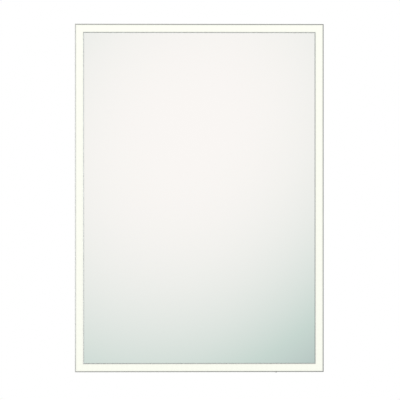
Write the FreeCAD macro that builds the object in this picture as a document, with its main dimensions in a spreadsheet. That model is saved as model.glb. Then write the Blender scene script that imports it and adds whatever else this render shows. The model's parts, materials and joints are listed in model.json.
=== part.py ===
"""Lighted bathroom mirror, 500 x 700 mm, hung on a wall rail.

Four mitred aluminium profiles make the frame. Each holds a lit channel behind its front face: an LED strip
on the channel's floor and an opal cover snapped in over it, so that a warm band runs round the mirror between
the frame's outer lip and its inner lip. The mirror pane lies inside the inner lips, taped to the frame's
ledge. A sheet steel panel closes the back and carries the lamp's driver, the terminal box for the supply
cable and the hook that hangs the mirror on its wall rail. A rocker switch sits in the underside of the bottom
profile.

Row frame, in millimetres: +X to the right and +Z up for a person who looks into the mirror, +Y towards the
wall. The origin is on the wall, midway between the wall rail's two outer screw holes.
Everything that hangs on the rail is modelled in the mirror's own frame: X and Z from the middle of the front,
and Y as the depth behind the front. The switch's inner pieces have a frame of their own, at the switch.
"""

import FreeCAD, Part
import math
import os

import Sketcher
from FreeCAD import Placement, Rotation, Vector

# Driving dimensions, in millimetres, degrees or counts: name, value, what it is.
SIZES = [
    ("frame_width", 500.0, "outside width of the frame"),
    ("frame_height", 700.0, "outside height of the frame"),
    ("frame_depth", 43.0, "depth of the frame's profiles"),
    ("wall_gap", 2.0, "from the frame's rear edge to the wall"),
    ("top_edge_height", 80.0, "from the wall screws up to the frame's top edge"),
    # frame profile
    ("outer_wall", 2.0, "frame profile: outer wall, whose front edge is the outer lip"),
    ("channel_width", 14.2, "frame profile: width of the lit channel"),
    ("inner_wall", 1.3, "frame profile: inner wall, whose front edge is the inner lip"),
    ("channel_depth", 12.0, "frame profile: from the front to the lit channel's floor"),
    ("web", 1.5, "frame profile: thickness of its webs and of the ledge"),
    ("chamber_depth", 13.5, "frame profile: depth of the hollow chamber for the corner keys"),
    ("ledge_width", 14.0, "frame profile: ledge that carries the mirror pane"),
    ("bead_width", 2.0, "frame profile: bead along the rear edge"),
    ("lip_chamfer", 0.3, "frame profile: broken edges of the lips"),
    ("groove_start", 4.6, "frame profile: from the front to the cover's snap groove"),
    ("groove_width", 1.4, "frame profile: width of the snap groove"),
    ("groove_depth", 0.5, "frame profile: depth of the snap groove"),
    # opal cover
    ("cover_recess", 0.3, "from the lips' front to the opal cover"),
    ("cover_thickness", 2.0, "thickness of the opal cover"),
    ("cover_fit", 0.1, "clearance between the cover and the channel's walls"),
    ("cover_leg", 1.2, "thickness of the cover's legs"),
    ("cover_leg_depth", 7.0, "from the front to the ends of the cover's legs"),
    ("barb_height", 0.4, "how far the cover's barbs stand out"),
    ("mitre_gap", 0.05, "gap at each mitred end of a cover"),
    # mirror pane
    ("glass_recess", 0.3, "from the lips' front to the mirror pane"),
    ("glass_thickness", 4.0, "thickness of the mirror pane"),
    ("glass_gap", 0.25, "gap between the pane's edge and the inner lip"),
    ("arris", 0.5, "ground bevel on the pane's front edges"),
    ("backing_thickness", 0.3, "silver, paint and safety film behind the pane"),
    ("backing_margin", 1.5, "margin of bare glass round the backing"),
    ("tape_thickness", 1.0, "thickness of the mounting tape"),
    ("tape_width", 9.0, "width of the mounting tape"),
    ("tape_margin", 2.0, "from the inner wall to the tape"),
    ("tape_gap", 1.0, "from the end of one length of tape to the side of the next"),
    # LED strips
    ("board_width", 8.0, "width of an LED strip's circuit board"),
    ("board_thickness", 0.3, "thickness of an LED strip's circuit board"),
    ("board_end_gap", 12.0, "from the lit channel's corner to the board's end"),
    ("chip_length", 3.5, "LED chip, along the strip"),
    ("chip_width", 2.8, "LED chip, across the strip"),
    ("chip_height", 0.8, "LED chip, height"),
    ("chip_pitch", 10.0, "spacing of the LED chips"),
    ("link_radius", 1.0, "links between the strips: radius"),
    ("link_lap", 1.0, "links between the strips: how far they lap over the boards"),
    ("link_gap", 0.05, "links between the strips: from a link to the board under it"),
    # corner keys and their grub screws
    ("key_arm", 48.0, "length of a corner key's arms, from the chamber's corner"),
    ("key_fit", 0.15, "clearance between a corner key and its chamber"),
    ("key_chamfer", 4.0, "cut corner of a corner key"),
    ("grub_radius", 2.0, "radius of the corner keys' grub screws"),
    ("grub_near", 28.0, "from the frame's corner to the nearer grub screw"),
    ("grub_far", 42.0, "from the frame's corner to the farther grub screw"),
    ("grub_end_gap", 0.3, "from a grub screw's end to the outer wall"),
    ("grub_recess", 0.3, "from the frame's inner face to a grub screw's head"),
    ("grub_point", 0.8, "height of a grub screw's point"),
    ("socket_flats", 2.0, "hexagon socket of a grub screw, across flats"),
    ("socket_depth", 2.5, "depth of the hexagon socket"),
    ("hole_clearance", 0.1, "radial clearance round screws, rivets, studs and leads"),
    # rear panel
    ("panel_thickness", 1.0, "rear panel: sheet thickness"),
    ("panel_edge_gap", 0.4, "rear panel: gap to the frame's outer wall"),
    ("panel_screw_radius", 1.8, "rear panel's screws: shank radius"),
    ("panel_screw_length", 8.0, "rear panel's screws: shank length"),
    ("panel_head_radius", 3.6, "rear panel's screws: head radius"),
    ("panel_head_height", 2.0, "rear panel's screws: head height"),
    ("panel_screw_end", 75.0, "from the frame's corner to the first panel screw"),
    ("screws_across", 3, "panel screws along the top and along the bottom"),
    ("screws_upright", 4, "panel screws along each side"),
    ("swage_width", 14.0, "rear panel: width of a stiffening swage"),
    ("swage_height", 2.0, "rear panel: height of a stiffening swage"),
    ("swage_length", 440.0, "rear panel: length of a stiffening swage"),
    ("swage_offset", 150.0, "rear panel: from the middle to each swage"),
    ("swage_chamfer", 1.2, "rear panel: sloped edge of a swage"),
    ("swage_drop", 40.0, "rear panel: from the panel's middle down to the swages' middle"),
    ("vent_width", 3.0, "rear panel: width of a ventilation slot"),
    ("vent_length", 26.0, "rear panel: length of a ventilation slot"),
    ("vent_pitch", 8.0, "rear panel: spacing of the ventilation slots"),
    ("vent_count", 12, "rear panel: number of slots in each bank"),
    ("vent_rise", 43.0, "rear panel: from the driver's middle up to the upper slots"),
    ("vent_drop", 60.0, "rear panel: from the driver's middle down to the lower slots"),
    # wall rail and hook
    ("rail_length", 360.0, "length of the wall rail"),
    ("rail_thickness", 2.5, "thickness of the wall rail and the hook"),
    ("rail_half_height", 12.0, "wall rail: from the screw line to the base flange's edges"),
    ("upstand_gap", 5.5, "wall rail: from the wall to its upstand"),
    ("upstand_top", 26.0, "wall rail: from the screw line to the upstand's top"),
    ("hook_length", 330.0, "length of the hook"),
    ("hook_wall_gap", 2.0, "from the hook's flange to the wall"),
    ("hook_drop", 12.0, "how far the hook's flange reaches below the upstand's top"),
    ("hook_flange", 22.0, "hook: flange on the rear panel, above the web"),
    ("wall_hole_radius", 2.75, "wall rail: radius of the screw holes"),
    ("wall_hole_spacing", 300.0, "wall rail: between the outer screw holes"),
    ("wall_slot_spacing", 120.0, "wall rail: between the inner screw slots"),
    ("wall_slot_length", 14.0, "wall rail: end-to-end length of the screw slots"),
    ("rivet_radius", 2.0, "hook's rivets: shank radius"),
    ("rivet_head_radius", 4.0, "hook's rivets: head radius"),
    ("rivet_head_height", 1.3, "hook's rivets: head height"),
    ("rivet_tail_radius", 3.0, "hook's rivets: radius of the closed end"),
    ("rivet_tail_height", 2.0, "hook's rivets: height of the closed end"),
    ("rivet_rim", 0.3, "hook's rivets: height of the head's rim"),
    ("rivet_bevel", 0.5, "hook's rivets: bevel of the closed end, and dimple in the head"),
    ("rivet_count", 6, "number of rivets in the hook"),
    ("rivet_end", 20.0, "from the hook's end to the first rivet"),
    # spacers at the bottom
    ("spacer_radius", 10.0, "wall spacer: radius"),
    ("spacer_pad_radius", 9.0, "wall spacer: radius of its rubber pad"),
    ("spacer_pad_thickness", 2.0, "wall spacer: thickness of its rubber pad"),
    ("spacer_inset", 45.0, "from the frame's edges to a spacer's middle"),
    ("spacer_screw_length", 9.0, "wall spacer: length of its screw"),
    # terminal box
    ("box_width", 96.0, "terminal box: width"),
    ("box_height", 54.0, "terminal box: height"),
    ("box_depth", 13.5, "terminal box: depth with its lid"),
    ("box_wall", 1.6, "terminal box: wall, floor and lid"),
    ("box_rise", 100.0, "from the mirror's middle up to the terminal box's middle"),
    ("box_fillet", 3.0, "terminal box: radius of its corners"),
    ("box_screw_inset", 8.0, "terminal box: from its ends to the fixing screws"),
    ("box_screw_length", 4.0, "terminal box: length of its fixing screws"),
    ("lid_post_inset", 6.5, "terminal box: from its edges to the lid's screw posts"),
    ("lid_screw_length", 7.0, "terminal box: length of the lid's and the clamp's screws"),
    ("inlet_radius", 3.5, "supply inlet: radius of the grommet's bore"),
    ("inlet_neck_radius", 4.6, "supply inlet: radius of the grommet's neck"),
    ("inlet_flange_radius", 5.9, "supply inlet: radius of the grommet's outer flange"),
    ("inlet_flange", 1.5, "supply inlet: thickness of the grommet's flanges"),
    ("inlet_length", 6.0, "supply inlet: length of the grommet"),
    ("inlet_offset", 22.0, "supply inlet: from the terminal box's left end"),
    ("grommet_fit", 0.05, "clearance between a grommet's neck and its hole"),
    ("block_pitch", 9.0, "terminal block: spacing of its poles"),
    ("block_height", 17.0, "terminal block: size along its poles"),
    ("block_depth", 8.5, "terminal block: depth"),
    ("block_offset", 4.0, "terminal block: from the mirror's middle line"),
    ("block_rise", 8.0, "terminal block: from the box's middle up to the block's middle"),
    ("block_notch_width", 1.6, "terminal block: width of the notches between its poles"),
    ("block_notch_depth", 1.5, "terminal block: depth of the notches between its poles"),
    ("block_well_gap", 0.5, "terminal block: clearance of its screws in their wells"),
    ("insert_radius", 2.6, "terminal block: radius of its brass inserts"),
    ("insert_bore", 1.6, "terminal block: radius of the inserts' bore"),
    ("insert_end", 1.0, "terminal block: from its ends to its inserts"),
    ("insert_fit", 0.05, "terminal block: clearance round its inserts"),
    ("clamping_screw_start", 0.5, "terminal block: from its middle to the screws' tips"),
    ("clamping_screw_recess", 0.8, "terminal block: from its face down to the screws' heads"),
    ("clamp_length", 24.0, "cord clamp: length of its bar"),
    ("clamp_width", 7.0, "cord clamp: width of its bar"),
    ("clamp_thickness", 1.2, "cord clamp: thickness of its bar"),
    ("clamp_rise", 12.0, "cord clamp: from the box's lower edge up to its bar"),
    ("clamp_play", 0.4, "cord clamp: from the supply cable's room to its bar"),
    ("stud_offset", 20.0, "earth stud: from the terminal box's left end"),
    ("stud_rise", 14.0, "earth stud: from the box's middle up to the stud"),
    ("nut_flats", 5.5, "earth stud: its nuts, across flats"),
    ("nut_height", 2.2, "earth stud: height of its nuts"),
    ("stud_front_end", 0.8, "earth stud: how far it stands out past its front nut"),
    ("stud_back_end", 4.8, "earth stud: how far it stands out past its rear nut"),
    ("small_screw_radius", 1.4, "small screws: shank radius"),
    ("small_head_radius", 2.5, "small screws: head radius"),
    ("small_head_height", 1.2, "small screws: head height"),
    ("post_radius", 3.2, "screw posts inside the terminal box and driver: radius"),
    ("outlet_radius", 3.2, "lead outlet: radius of the grommet's bore"),
    ("outlet_neck_radius", 4.8, "lead outlet: radius of the grommet's neck"),
    ("outlet_offset", 16.0, "lead outlet: from the terminal box's right end"),
    ("outlet_drop", 12.0, "lead outlet: from the box's middle down to it"),
    ("outlet_collar", 1.2, "lead outlet: how far the grommet's collar stands out round its neck"),
    ("outlet_end", 1.0, "lead outlet: how far the grommet stands out at each end"),
    # driver
    ("driver_length", 168.0, "driver: length of its case"),
    ("driver_height", 46.0, "driver: height of its case"),
    ("driver_depth", 18.0, "driver: depth of its case with its lid"),
    ("driver_wall", 1.6, "driver: wall thickness"),
    ("driver_rise", 10.0, "from the mirror's middle up to the driver's middle"),
    ("driver_ear", 12.0, "driver: length of its mounting ears"),
    ("ear_width", 16.0, "driver: width of its mounting ears"),
    ("driver_post_inset", 7.0, "driver: from its ends to the lid's screw posts"),
    ("driver_screw_length", 8.0, "driver: length of the lid's screws"),
    ("ear_screw_length", 6.0, "driver: length of the screws in its ears"),
    ("driver_fillet", 4.0, "driver: radius of its corners"),
    ("circuit_thickness", 1.6, "driver: thickness of its circuit board"),
    ("circuit_rise", 3.0, "driver: from its floor to its circuit board"),
    ("circuit_end", 14.0, "driver: from its end walls to its circuit board"),
    ("circuit_edge", 1.5, "driver: from its long walls to its circuit board"),
    ("circuit_leg_radius", 1.6, "driver: radius of the circuit board's legs"),
    ("circuit_leg_inset", 4.0, "driver: from the circuit board's edges to its legs"),
    # leads
    ("mains_lead_radius", 2.0, "radius of the mains and switch leads"),
    ("lamp_lead_radius", 1.4, "radius of the lamp lead and the links between strips"),
    ("earth_lead_radius", 1.1, "radius of the earth lead"),
    ("lead_bend", 16.0, "bend radius of the sheathed leads"),
    ("lead_stand", 1.8, "from the rear panel to the leads"),
    ("lead_rise", 14.0, "from the driver's middle, up or down, to where a lead enters it"),
    ("lead_entry", 4.0, "how far a lead reaches into the driver"),
    ("lead_column", 40.0, "from the driver's end to the switch lead's long run"),
    ("lamp_lead_drop", 60.0, "from the driver's middle down to the lamp lead's hole"),
    ("lamp_lead_gap", 0.2, "from an LED board to the lamp lead's end"),
    ("clip_width", 8.0, "lead clips: width"),
    ("clip_wall", 1.4, "lead clips: wall"),
    ("clip_foot", 1.0, "lead clips: thickness of their feet"),
    ("clip_drop_upper", 120.0, "from the driver's middle down to the upper clip"),
    ("clip_drop_lower", 230.0, "from the driver's middle down to the lower clip"),
    # switch
    ("switch_offset", 100.0, "from the frame's right side to the rocker switch"),
    ("bezel_length", 21.0, "switch: length of its bezel"),
    ("bezel_width", 15.0, "switch: width of its bezel"),
    ("bezel_thickness", 1.6, "switch: thickness of its bezel"),
    ("switch_length", 19.0, "switch: length of its body"),
    ("switch_width", 12.8, "switch: width of its body"),
    ("switch_depth", 14.0, "switch: depth of its body behind the bezel"),
    ("switch_wall", 1.2, "switch: wall thickness"),
    ("ear_height", 0.7, "switch: how far its snap ears stand out"),
    ("ear_length", 3.5, "switch: length of its snap ears"),
    ("ear_lip", 0.5, "switch: height of the snap ears' square edge"),
    ("cutout_fit", 0.1, "clearance round the switch's body in its cut-out"),
    ("rocker_gap", 0.3, "gap round the rocker"),
    ("rocker_angle", 9.0, "tilt of the rocker from its middle position"),
    ("rocker_pivot_depth", 2.6, "from the frame's underside to the rocker's pivot"),
    ("rocker_reach", 5.4, "from the rocker's pivot to the ends of its outer face"),
    ("rocker_shoulder", 1.2, "from the rocker's pivot to the inner ends of its end faces"),
    ("stem_half_width", 2.0, "switch: half the width of the rocker's stem"),
    ("stem_reach", 4.0, "from the rocker's pivot to the end of its stem"),
    ("stem_root", 0.4, "switch: how much wider the rocker's stem is at its root"),
    ("rocker_shoulder_width", 2.0, "switch: width of the rocker's shoulders"),
    ("rocker_shoulder_drop", 0.6, "switch: slope of the rocker's back towards its shoulders"),
    ("rocker_edge", 0.5, "switch: radius of the rocker's outer edges"),
    ("plunger_seat", 2.6, "from the rocker's pivot to the plunger's inner end"),
    ("well_seat", 1.0, "from the rocker's pivot to the bottom of the plunger's well"),
    ("pivot_radius", 1.2, "switch: radius of the rocker's pivot pins"),
    ("pivot_clearance", 0.05, "switch: radial clearance of the pivot pins"),
    ("pivot_end_gap", 0.3, "switch: from the pivot pins' ends to the body's sides"),
    ("plunger_reach", 6.6, "from the rocker's pivot to the plunger's tip"),
    ("plunger_radius", 0.9, "switch: radius of the plunger"),
    ("plunger_fit", 0.1, "switch: clearance of the plunger in its well"),
    ("spring_wire", 0.15, "switch: radius of the spring's wire"),
    ("spring_gap", 0.05, "switch: clearance round the spring"),
    ("spring_turns", 3, "switch: number of the spring's turns"),
    ("lever_angle", 6.0, "tilt of the contact lever from its middle position"),
    ("lever_gap", 0.15, "from the plunger's tip to the lever, with both in the middle"),
    ("lever_thickness", 0.5, "switch: thickness of the contact lever"),
    ("lever_half_length", 6.0, "switch: half the length of the contact lever"),
    ("lever_width", 4.0, "switch: width of the contact lever"),
    ("knuckle_radius", 0.45, "switch: radius of the lever's knuckle on the common tab"),
    ("knuckle_fit", 0.05, "switch: clearance of the knuckle in the common tab's saddle"),
    ("contact_radius", 0.9, "switch: radius of the lever's contact"),
    ("contact_height", 0.6, "switch: height of the lever's contact"),
    ("contact_inset", 1.2, "switch: from the lever's end to its contact"),
    ("contact_gap", 0.35, "switch: from the contact to its tab, with the light on"),
    ("tab_width", 4.8, "switch: width of its terminal tabs"),
    ("tab_thickness", 0.8, "switch: thickness of its terminal tabs"),
    ("tab_length", 7.0, "switch: length of its terminal tabs behind the body"),
    ("tab_spacing", 5.5, "switch: spacing of its terminal tabs"),
    ("tab_fit", 0.05, "switch: clearance of the tabs in the body's floor"),
    ("tab_hole_radius", 0.8, "switch: radius of the hole in each tab"),
    ("tab_hole_end", 2.4, "switch: from a tab's end to its hole"),
    ("tab_window", 2.0, "clearance round the tabs where they leave the frame's chamber"),
]

doc = FreeCAD.newDocument("lighted_mirror")
sheet = doc.addObject("Spreadsheet::Sheet", "Sizes")
for row, (alias, number, meaning) in enumerate(SIZES, start=1):
    sheet.set(f"A{row}", meaning)
    sheet.set(f"B{row}", str(number))
    sheet.setAlias(f"B{row}", alias)
doc.recompute()


# ---------------------------------------------------------------- sizes that know their formula
class Size:
    """A number together with the formula, over the sheet's cells, that gives it."""

    def __init__(self, formula, value):
        self.formula = formula
        self.value = value

    def __add__(self, other):
        other = size(other)
        return Size(f"({self.formula} + {other.formula})", self.value + other.value)

    def __sub__(self, other):
        other = size(other)
        return Size(f"({self.formula} - {other.formula})", self.value - other.value)

    def __mul__(self, other):
        other = size(other)
        return Size(f"({self.formula} * {other.formula})", self.value * other.value)

    def __truediv__(self, other):
        other = size(other)
        return Size(f"({self.formula} / {other.formula})", self.value / other.value)

    def __neg__(self):
        return size(0) - self

    def __radd__(self, other):
        return size(other) + self

    def __rsub__(self, other):
        return size(other) - self

    def __rmul__(self, other):
        return size(other) * self


def size(number):
    """The number as a Size, if it isn't one yet."""
    if isinstance(number, Size):
        return number
    return Size(f"({number:g})", number)


def cell(alias):
    """The size that the sheet holds under this name."""
    return Size(f"Sizes.{alias}", float(sheet.get(alias)))


def count(alias):
    """The whole number that the sheet holds under this name."""
    return int(round(float(sheet.get(alias))))


# ---------------------------------------------------------------- sketches and features
PLANES = {"X": "YZ_Plane", "Y": "XZ_Plane", "Z": "XY_Plane"}
parts = {}


def keep(label, thing):
    """Registers a finished sub-part under the name of its file."""
    thing.Label = label
    parts[label] = thing
    return thing


def bind(thing, path, amount):
    """Ties a property of thing to a size."""
    thing.setExpression(path, size(amount).formula)


def hold(sketch, kind, elements, amount):
    """Adds a dimension to a sketch and ties it to a size."""
    amount = size(amount)
    index = sketch.addConstraint(Sketcher.Constraint(kind, *elements, amount.value))
    sketch.setExpression(f"Constraints[{index}]", amount.formula)


def put_point(sketch, element, end, across, up):
    """Dimensions a point of a sketch from the sketch's origin."""
    hold(sketch, "DistanceX", (-1, 1, element, end), across)
    hold(sketch, "DistanceY", (-1, 1, element, end), up)


def draw_polygon(sketch, points):
    """A closed outline through points, each an (across, up) pair of sizes."""
    points = [(size(across), size(up)) for across, up in points]
    corners = [Vector(across.value, up.value, 0) for across, up in points]
    first = sketch.GeometryCount
    for corner, following in zip(corners, corners[1:] + corners[:1]):
        sketch.addGeometry(Part.LineSegment(corner, following), False)
    for index, (across, up) in enumerate(points):
        after = first + (index + 1) % len(points)
        sketch.addConstraint(Sketcher.Constraint("Coincident", first + index, 2, after, 1))
        put_point(sketch, first + index, 1, across, up)


def draw_circle(sketch, across, up, radius):
    """A circle of that radius about the point (across, up)."""
    across, up, radius = size(across), size(up), size(radius)
    circle = Part.Circle(Vector(across.value, up.value, 0), Vector(0, 0, 1), radius.value)
    index = sketch.addGeometry(circle, False)
    put_point(sketch, index, 3, across, up)
    hold(sketch, "Radius", (index,), radius)


def draw_slot(sketch, across, up, length, width, upright=False):
    """A slot with round ends about the point (across, up), along the sketch's first or second axis."""
    across, up, length, width = size(across), size(up), size(length), size(width)
    radius = width / 2
    reach = (length - width) / 2
    turn = math.pi / 2 if upright else 0.0
    along = Vector(math.cos(turn), math.sin(turn), 0)
    beside = Vector(-math.sin(turn), math.cos(turn), 0)
    middle = Vector(across.value, up.value, 0)
    far = middle + along * reach.value
    near = middle - along * reach.value
    aside = beside * radius.value
    axis = Vector(0, 0, 1)
    first = sketch.GeometryCount
    low, high = turn - math.pi / 2, turn + math.pi / 2
    far_end = Part.ArcOfCircle(Part.Circle(far, axis, radius.value), low, high)
    near_end = Part.ArcOfCircle(Part.Circle(near, axis, radius.value), high, low)
    sketch.addGeometry(far_end, False)
    sketch.addGeometry(Part.LineSegment(far + aside, near + aside), False)
    sketch.addGeometry(near_end, False)
    sketch.addGeometry(Part.LineSegment(near - aside, far - aside), False)
    for index in range(4):
        after = first + (index + 1) % 4
        sketch.addConstraint(Sketcher.Constraint("Tangent", first + index, 2, after, 1))
    hold(sketch, "Radius", (first,), radius)
    if upright:
        put_point(sketch, first, 3, across, up + reach)
        put_point(sketch, first + 2, 3, across, up - reach)
    else:
        put_point(sketch, first, 3, across + reach, up)
        put_point(sketch, first + 2, 3, across - reach, up)


def rectangle(low_across, high_across, low_up, high_up):
    """The four corners of a rectangle, for draw_polygon."""
    return [(low_across, low_up), (high_across, low_up), (high_across, high_up), (low_across, high_up)]


def centred(width, height, across=0, up=0):
    """The four corners of a rectangle about a point, for draw_polygon."""
    width, height = size(width), size(height)
    return rectangle(across - width / 2, across + width / 2, up - height / 2, up + height / 2)


def new_sketch(body, axis, offset, shapes):
    """A sketch square to axis, offset along its plane's normal, with polygons, circles and slots in it."""
    plane = next(f for f in body.Origin.OriginFeatures if f.Role == PLANES[axis])
    sketch = body.newObject("Sketcher::SketchObject", f"{body.Name}_sketch")
    sketch.AttachmentSupport = [(plane, "")]
    sketch.MapMode = "FlatFace"
    bind(sketch, "AttachmentOffset.Base.z", offset)
    for shape in shapes:
        if isinstance(shape, list):
            draw_polygon(sketch, shape)
        elif len(shape) == 3:
            draw_circle(sketch, *shape)
        else:
            draw_slot(sketch, *shape)
    return sketch


def add(body, axis, shapes, low, high):
    """Pads the shapes from low to high along the axis. The plane square to Y faces the other way."""
    low, high = size(low), size(high)
    offset = -high if axis == "Y" else low
    pad = body.newObject("PartDesign::Pad", f"{body.Name}_pad")
    pad.Profile = new_sketch(body, axis, offset, shapes)
    bind(pad, "Length", high - low)
    doc.recompute()
    return pad


def cut(body, axis, shapes, low, high):
    """Pockets the shapes from low to high along the axis, and makes sure that this takes something away."""
    low, high = size(low), size(high)
    before = body.Shape.Volume
    offset = -low if axis == "Y" else high
    pocket = body.newObject("PartDesign::Pocket", f"{body.Name}_pocket")
    pocket.Profile = new_sketch(body, axis, offset, shapes)
    bind(pocket, "Length", high - low)
    doc.recompute()
    if not body.Shape.Volume < before - 1e-6:
        raise RuntimeError(f"{body.Label}: {pocket.Name} cuts nothing")
    return pocket


def make_body(label):
    """An empty body under this label."""
    body = doc.addObject("PartDesign::Body", label)
    body.Label = label
    return body


def prism(label, axis, shapes, low, high):
    """A body padded from the shapes, from low to high along the axis."""
    body = keep(label, make_body(label))
    add(body, axis, shapes, low, high)
    return body


def edges_where(body, wanted):
    """The names of the edges of a body's tip for whose two ends and middle wanted(point) holds."""
    found = []
    for index, edge in enumerate(body.Tip.Shape.Edges, start=1):
        points = [v.Point for v in edge.Vertexes]
        points.append(edge.valueAt((edge.FirstParameter + edge.LastParameter) / 2))
        if all(wanted(p) for p in points):
            found.append(f"Edge{index}")
    return found


def dress(body, kind, names, amount):
    """A Fillet or Chamfer of the named edges of a body's tip."""
    base = body.Tip
    feature = body.newObject(f"PartDesign::{kind}", f"{body.Name}_{kind.lower()}")
    feature.Base = (base, names)
    bind(feature, "Radius" if kind == "Fillet" else "Size", amount)
    doc.recompute()
    return feature


def repeat_cut(body, pocket, axis, spacing, copies):
    """Repeats a pocket along one of the body's axes."""
    pattern = body.newObject("PartDesign::LinearPattern", f"{body.Name}_pattern")
    pattern.Originals = [pocket]
    line = next(f for f in body.Origin.OriginFeatures if f.Role == f"{axis}_Axis")
    pattern.Direction = (line, [""])
    bind(pattern, "Length", size(spacing) * (copies - 1))
    pattern.Occurrences = copies
    body.Tip = pattern
    doc.recompute()
    return pattern


def corners_of(body, low, high):
    """The edges along the depth at the outer corners of a box-shaped body between two depths."""
    box = body.Tip.Shape.BoundBox
    near = 1e-3

    def at_corner(p):
        on_side = min(abs(p.x - box.XMin), abs(p.x - box.XMax)) < near
        on_end = min(abs(p.z - box.ZMin), abs(p.z - box.ZMax)) < near
        return on_side and on_end and low.value - near < p.y < high.value + near

    return edges_where(body, at_corner)


# ---------------------------------------------------------------- groups of equal pieces
def group(label, shapes):
    """A node of several equal solids, which keep the places they have."""
    feature = doc.addObject("Part::Feature", label)
    feature.Shape = Part.makeCompound(shapes)
    return keep(label, feature)


def moved(shape, x=0.0, y=0.0, z=0.0, turn=0.0):
    """A copy of shape, turned about Y and then moved."""
    copy = shape.copy()
    copy.Placement = Placement(Vector(x, y, z), Rotation(Vector(0, 1, 0), turn)) * shape.Placement
    return copy


def turned_profile(points):
    """The solid of revolution, about Y, of an outline of (radius, depth) numbers."""
    corners = [Vector(radius, depth, 0) for radius, depth in points]
    face = Part.Face(Part.makePolygon(corners + corners[:1]))
    return face.revolve(Vector(0, 0, 0), Vector(0, 1, 0), 360)


def screw(shank_radius, shank_length, head_radius, head_height):
    """A pan-head screw with a cross recess. Its shank points to the front, and its head's seat is at 0."""
    rim = 0.55 * head_height
    top = 0.75 * head_radius
    solid = turned_profile([
        (0, -shank_length), (0.4 * shank_radius, -shank_length), (shank_radius, -shank_length + shank_radius),
        (shank_radius, 0), (head_radius, 0), (head_radius, rim), (top, head_height), (0, head_height),
    ])
    slot_length, slot_width, slot_depth = 1.1 * head_radius, 0.3 * head_radius, 0.5 * head_height
    for long_x, long_z in ((slot_length, slot_width), (slot_width, slot_length)):
        corner = Vector(-long_x / 2, head_height - slot_depth, -long_z / 2)
        solid = solid.cut(Part.makeBox(long_x, head_height, long_z, corner))
    return solid


def small_screw(alias):
    """A small pan-head screw, as screw() makes it, with the length that the sheet holds under this name."""
    return screw(cell("small_screw_radius").value, cell(alias).value,
                 cell("small_head_radius").value, cell("small_head_height").value)


def hexagon(flats, x, y, z):
    """A hexagonal face square to Y, as wide across flats as stated."""
    corner = flats / math.sqrt(3)
    steps = [k * math.pi / 3 for k in range(6)]
    points = [Vector(x + corner * math.cos(a), y, z + corner * math.sin(a)) for a in steps]
    return Part.Face(Part.makePolygon(points + points[:1]))


def tube(route, radius, bend):
    """A round lead along straight runs that are joined by tangent arcs of one bend radius or less."""
    points = [Vector(*p) for p in route]
    edges = []
    start = points[0]
    for before, corner, after in zip(points, points[1:], points[2:]):
        back = (before - corner).normalize()
        on = (after - corner).normalize()
        half = back.getAngle(on) / 2
        room = 0.48 * min((before - corner).Length, (after - corner).Length)
        setback = min(bend / math.tan(half), room)
        enter = corner + back * setback
        leave = corner + on * setback
        inward = (back + on).normalize()
        actual_bend = setback * math.tan(half)
        middle = corner + inward * (actual_bend / math.sin(half) - actual_bend)
        edges.append(Part.LineSegment(start, enter).toShape())
        edges.append(Part.Arc(enter, middle, leave).toShape())
        start = leave
    edges.append(Part.LineSegment(start, points[-1]).toShape())
    path = Part.Wire(edges)
    ring = Part.Wire([Part.Circle(points[0], points[1] - points[0], radius).toShape()])
    solid = path.makePipeShell([ring], True, False)
    expected = math.pi * radius**2 * path.Length
    if abs(solid.Volume - expected) > 0.01 * expected:
        raise RuntimeError(f"a lead's volume is {solid.Volume:.1f} and not {expected:.1f}")
    return solid


# ---------------------------------------------------------------- where things are in the mirror's own frame
clearance = cell("hole_clearance")
half_width = cell("frame_width") / 2
half_height = cell("frame_height") / 2
wall_plane = cell("frame_depth") + cell("wall_gap")
centre_rise = cell("top_edge_height") - half_height

channel_end = cell("outer_wall") + cell("channel_width")
profile_width = channel_end + cell("inner_wall")
channel_middle = cell("outer_wall") + cell("channel_width") / 2
board_front = cell("channel_depth") - cell("board_thickness")
chamber_start = cell("channel_depth") + cell("web")
chamber_end = chamber_start + cell("chamber_depth")
chamber_middle = chamber_start + cell("chamber_depth") / 2
panel_front = chamber_end + cell("web")
panel_back = panel_front + cell("panel_thickness")
glass_back = cell("glass_recess") + cell("glass_thickness")
backing_back = glass_back + cell("backing_thickness")
ledge_front = backing_back + cell("tape_thickness")
ledge_back = ledge_front + cell("web")

# side: its turn about Y from the top, the distance from the middle to its outer face, and half its length
SIDES = {
    "top": (0, half_height, half_width),
    "right": (90, half_width, half_height),
    "bottom": (180, half_height, half_width),
    "left": (270, half_width, half_height),
}


def hang(thing, turn=0, x=0, z=0):
    """Places a piece that is modelled in the mirror's own frame, turned about Y about the point (x, z)."""
    thing.Placement = Placement(Vector(0, 0, 0), Rotation(Vector(0, 1, 0), turn))
    bind(thing, "Placement.Base.x", x)
    bind(thing, "Placement.Base.y", -wall_plane)
    bind(thing, "Placement.Base.z", centre_rise + z)


def mitre(body, reach, half_length, inward, gap):
    """Cuts both ends of a piece along a side at 45 degrees through the frame's corners."""
    beyond = 1
    shapes = []
    for sign in (1, -1):
        outer = (sign * (half_length + beyond - gap), reach + beyond)
        inner = (sign * (half_length - inward - beyond - gap), reach - inward - beyond)
        end = (sign * (half_length + beyond), reach - inward - beyond)
        shapes.append([outer, end, inner])
    cut(body, "Y", shapes, -beyond, cell("frame_depth") + beyond)


def spread(amount, reach):
    """Positions of that many things, evenly spaced from -reach to reach."""
    if amount == 1:
        return [size(0)]
    return [reach * (2 * index / (amount - 1) - 1) for index in range(amount)]


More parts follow.
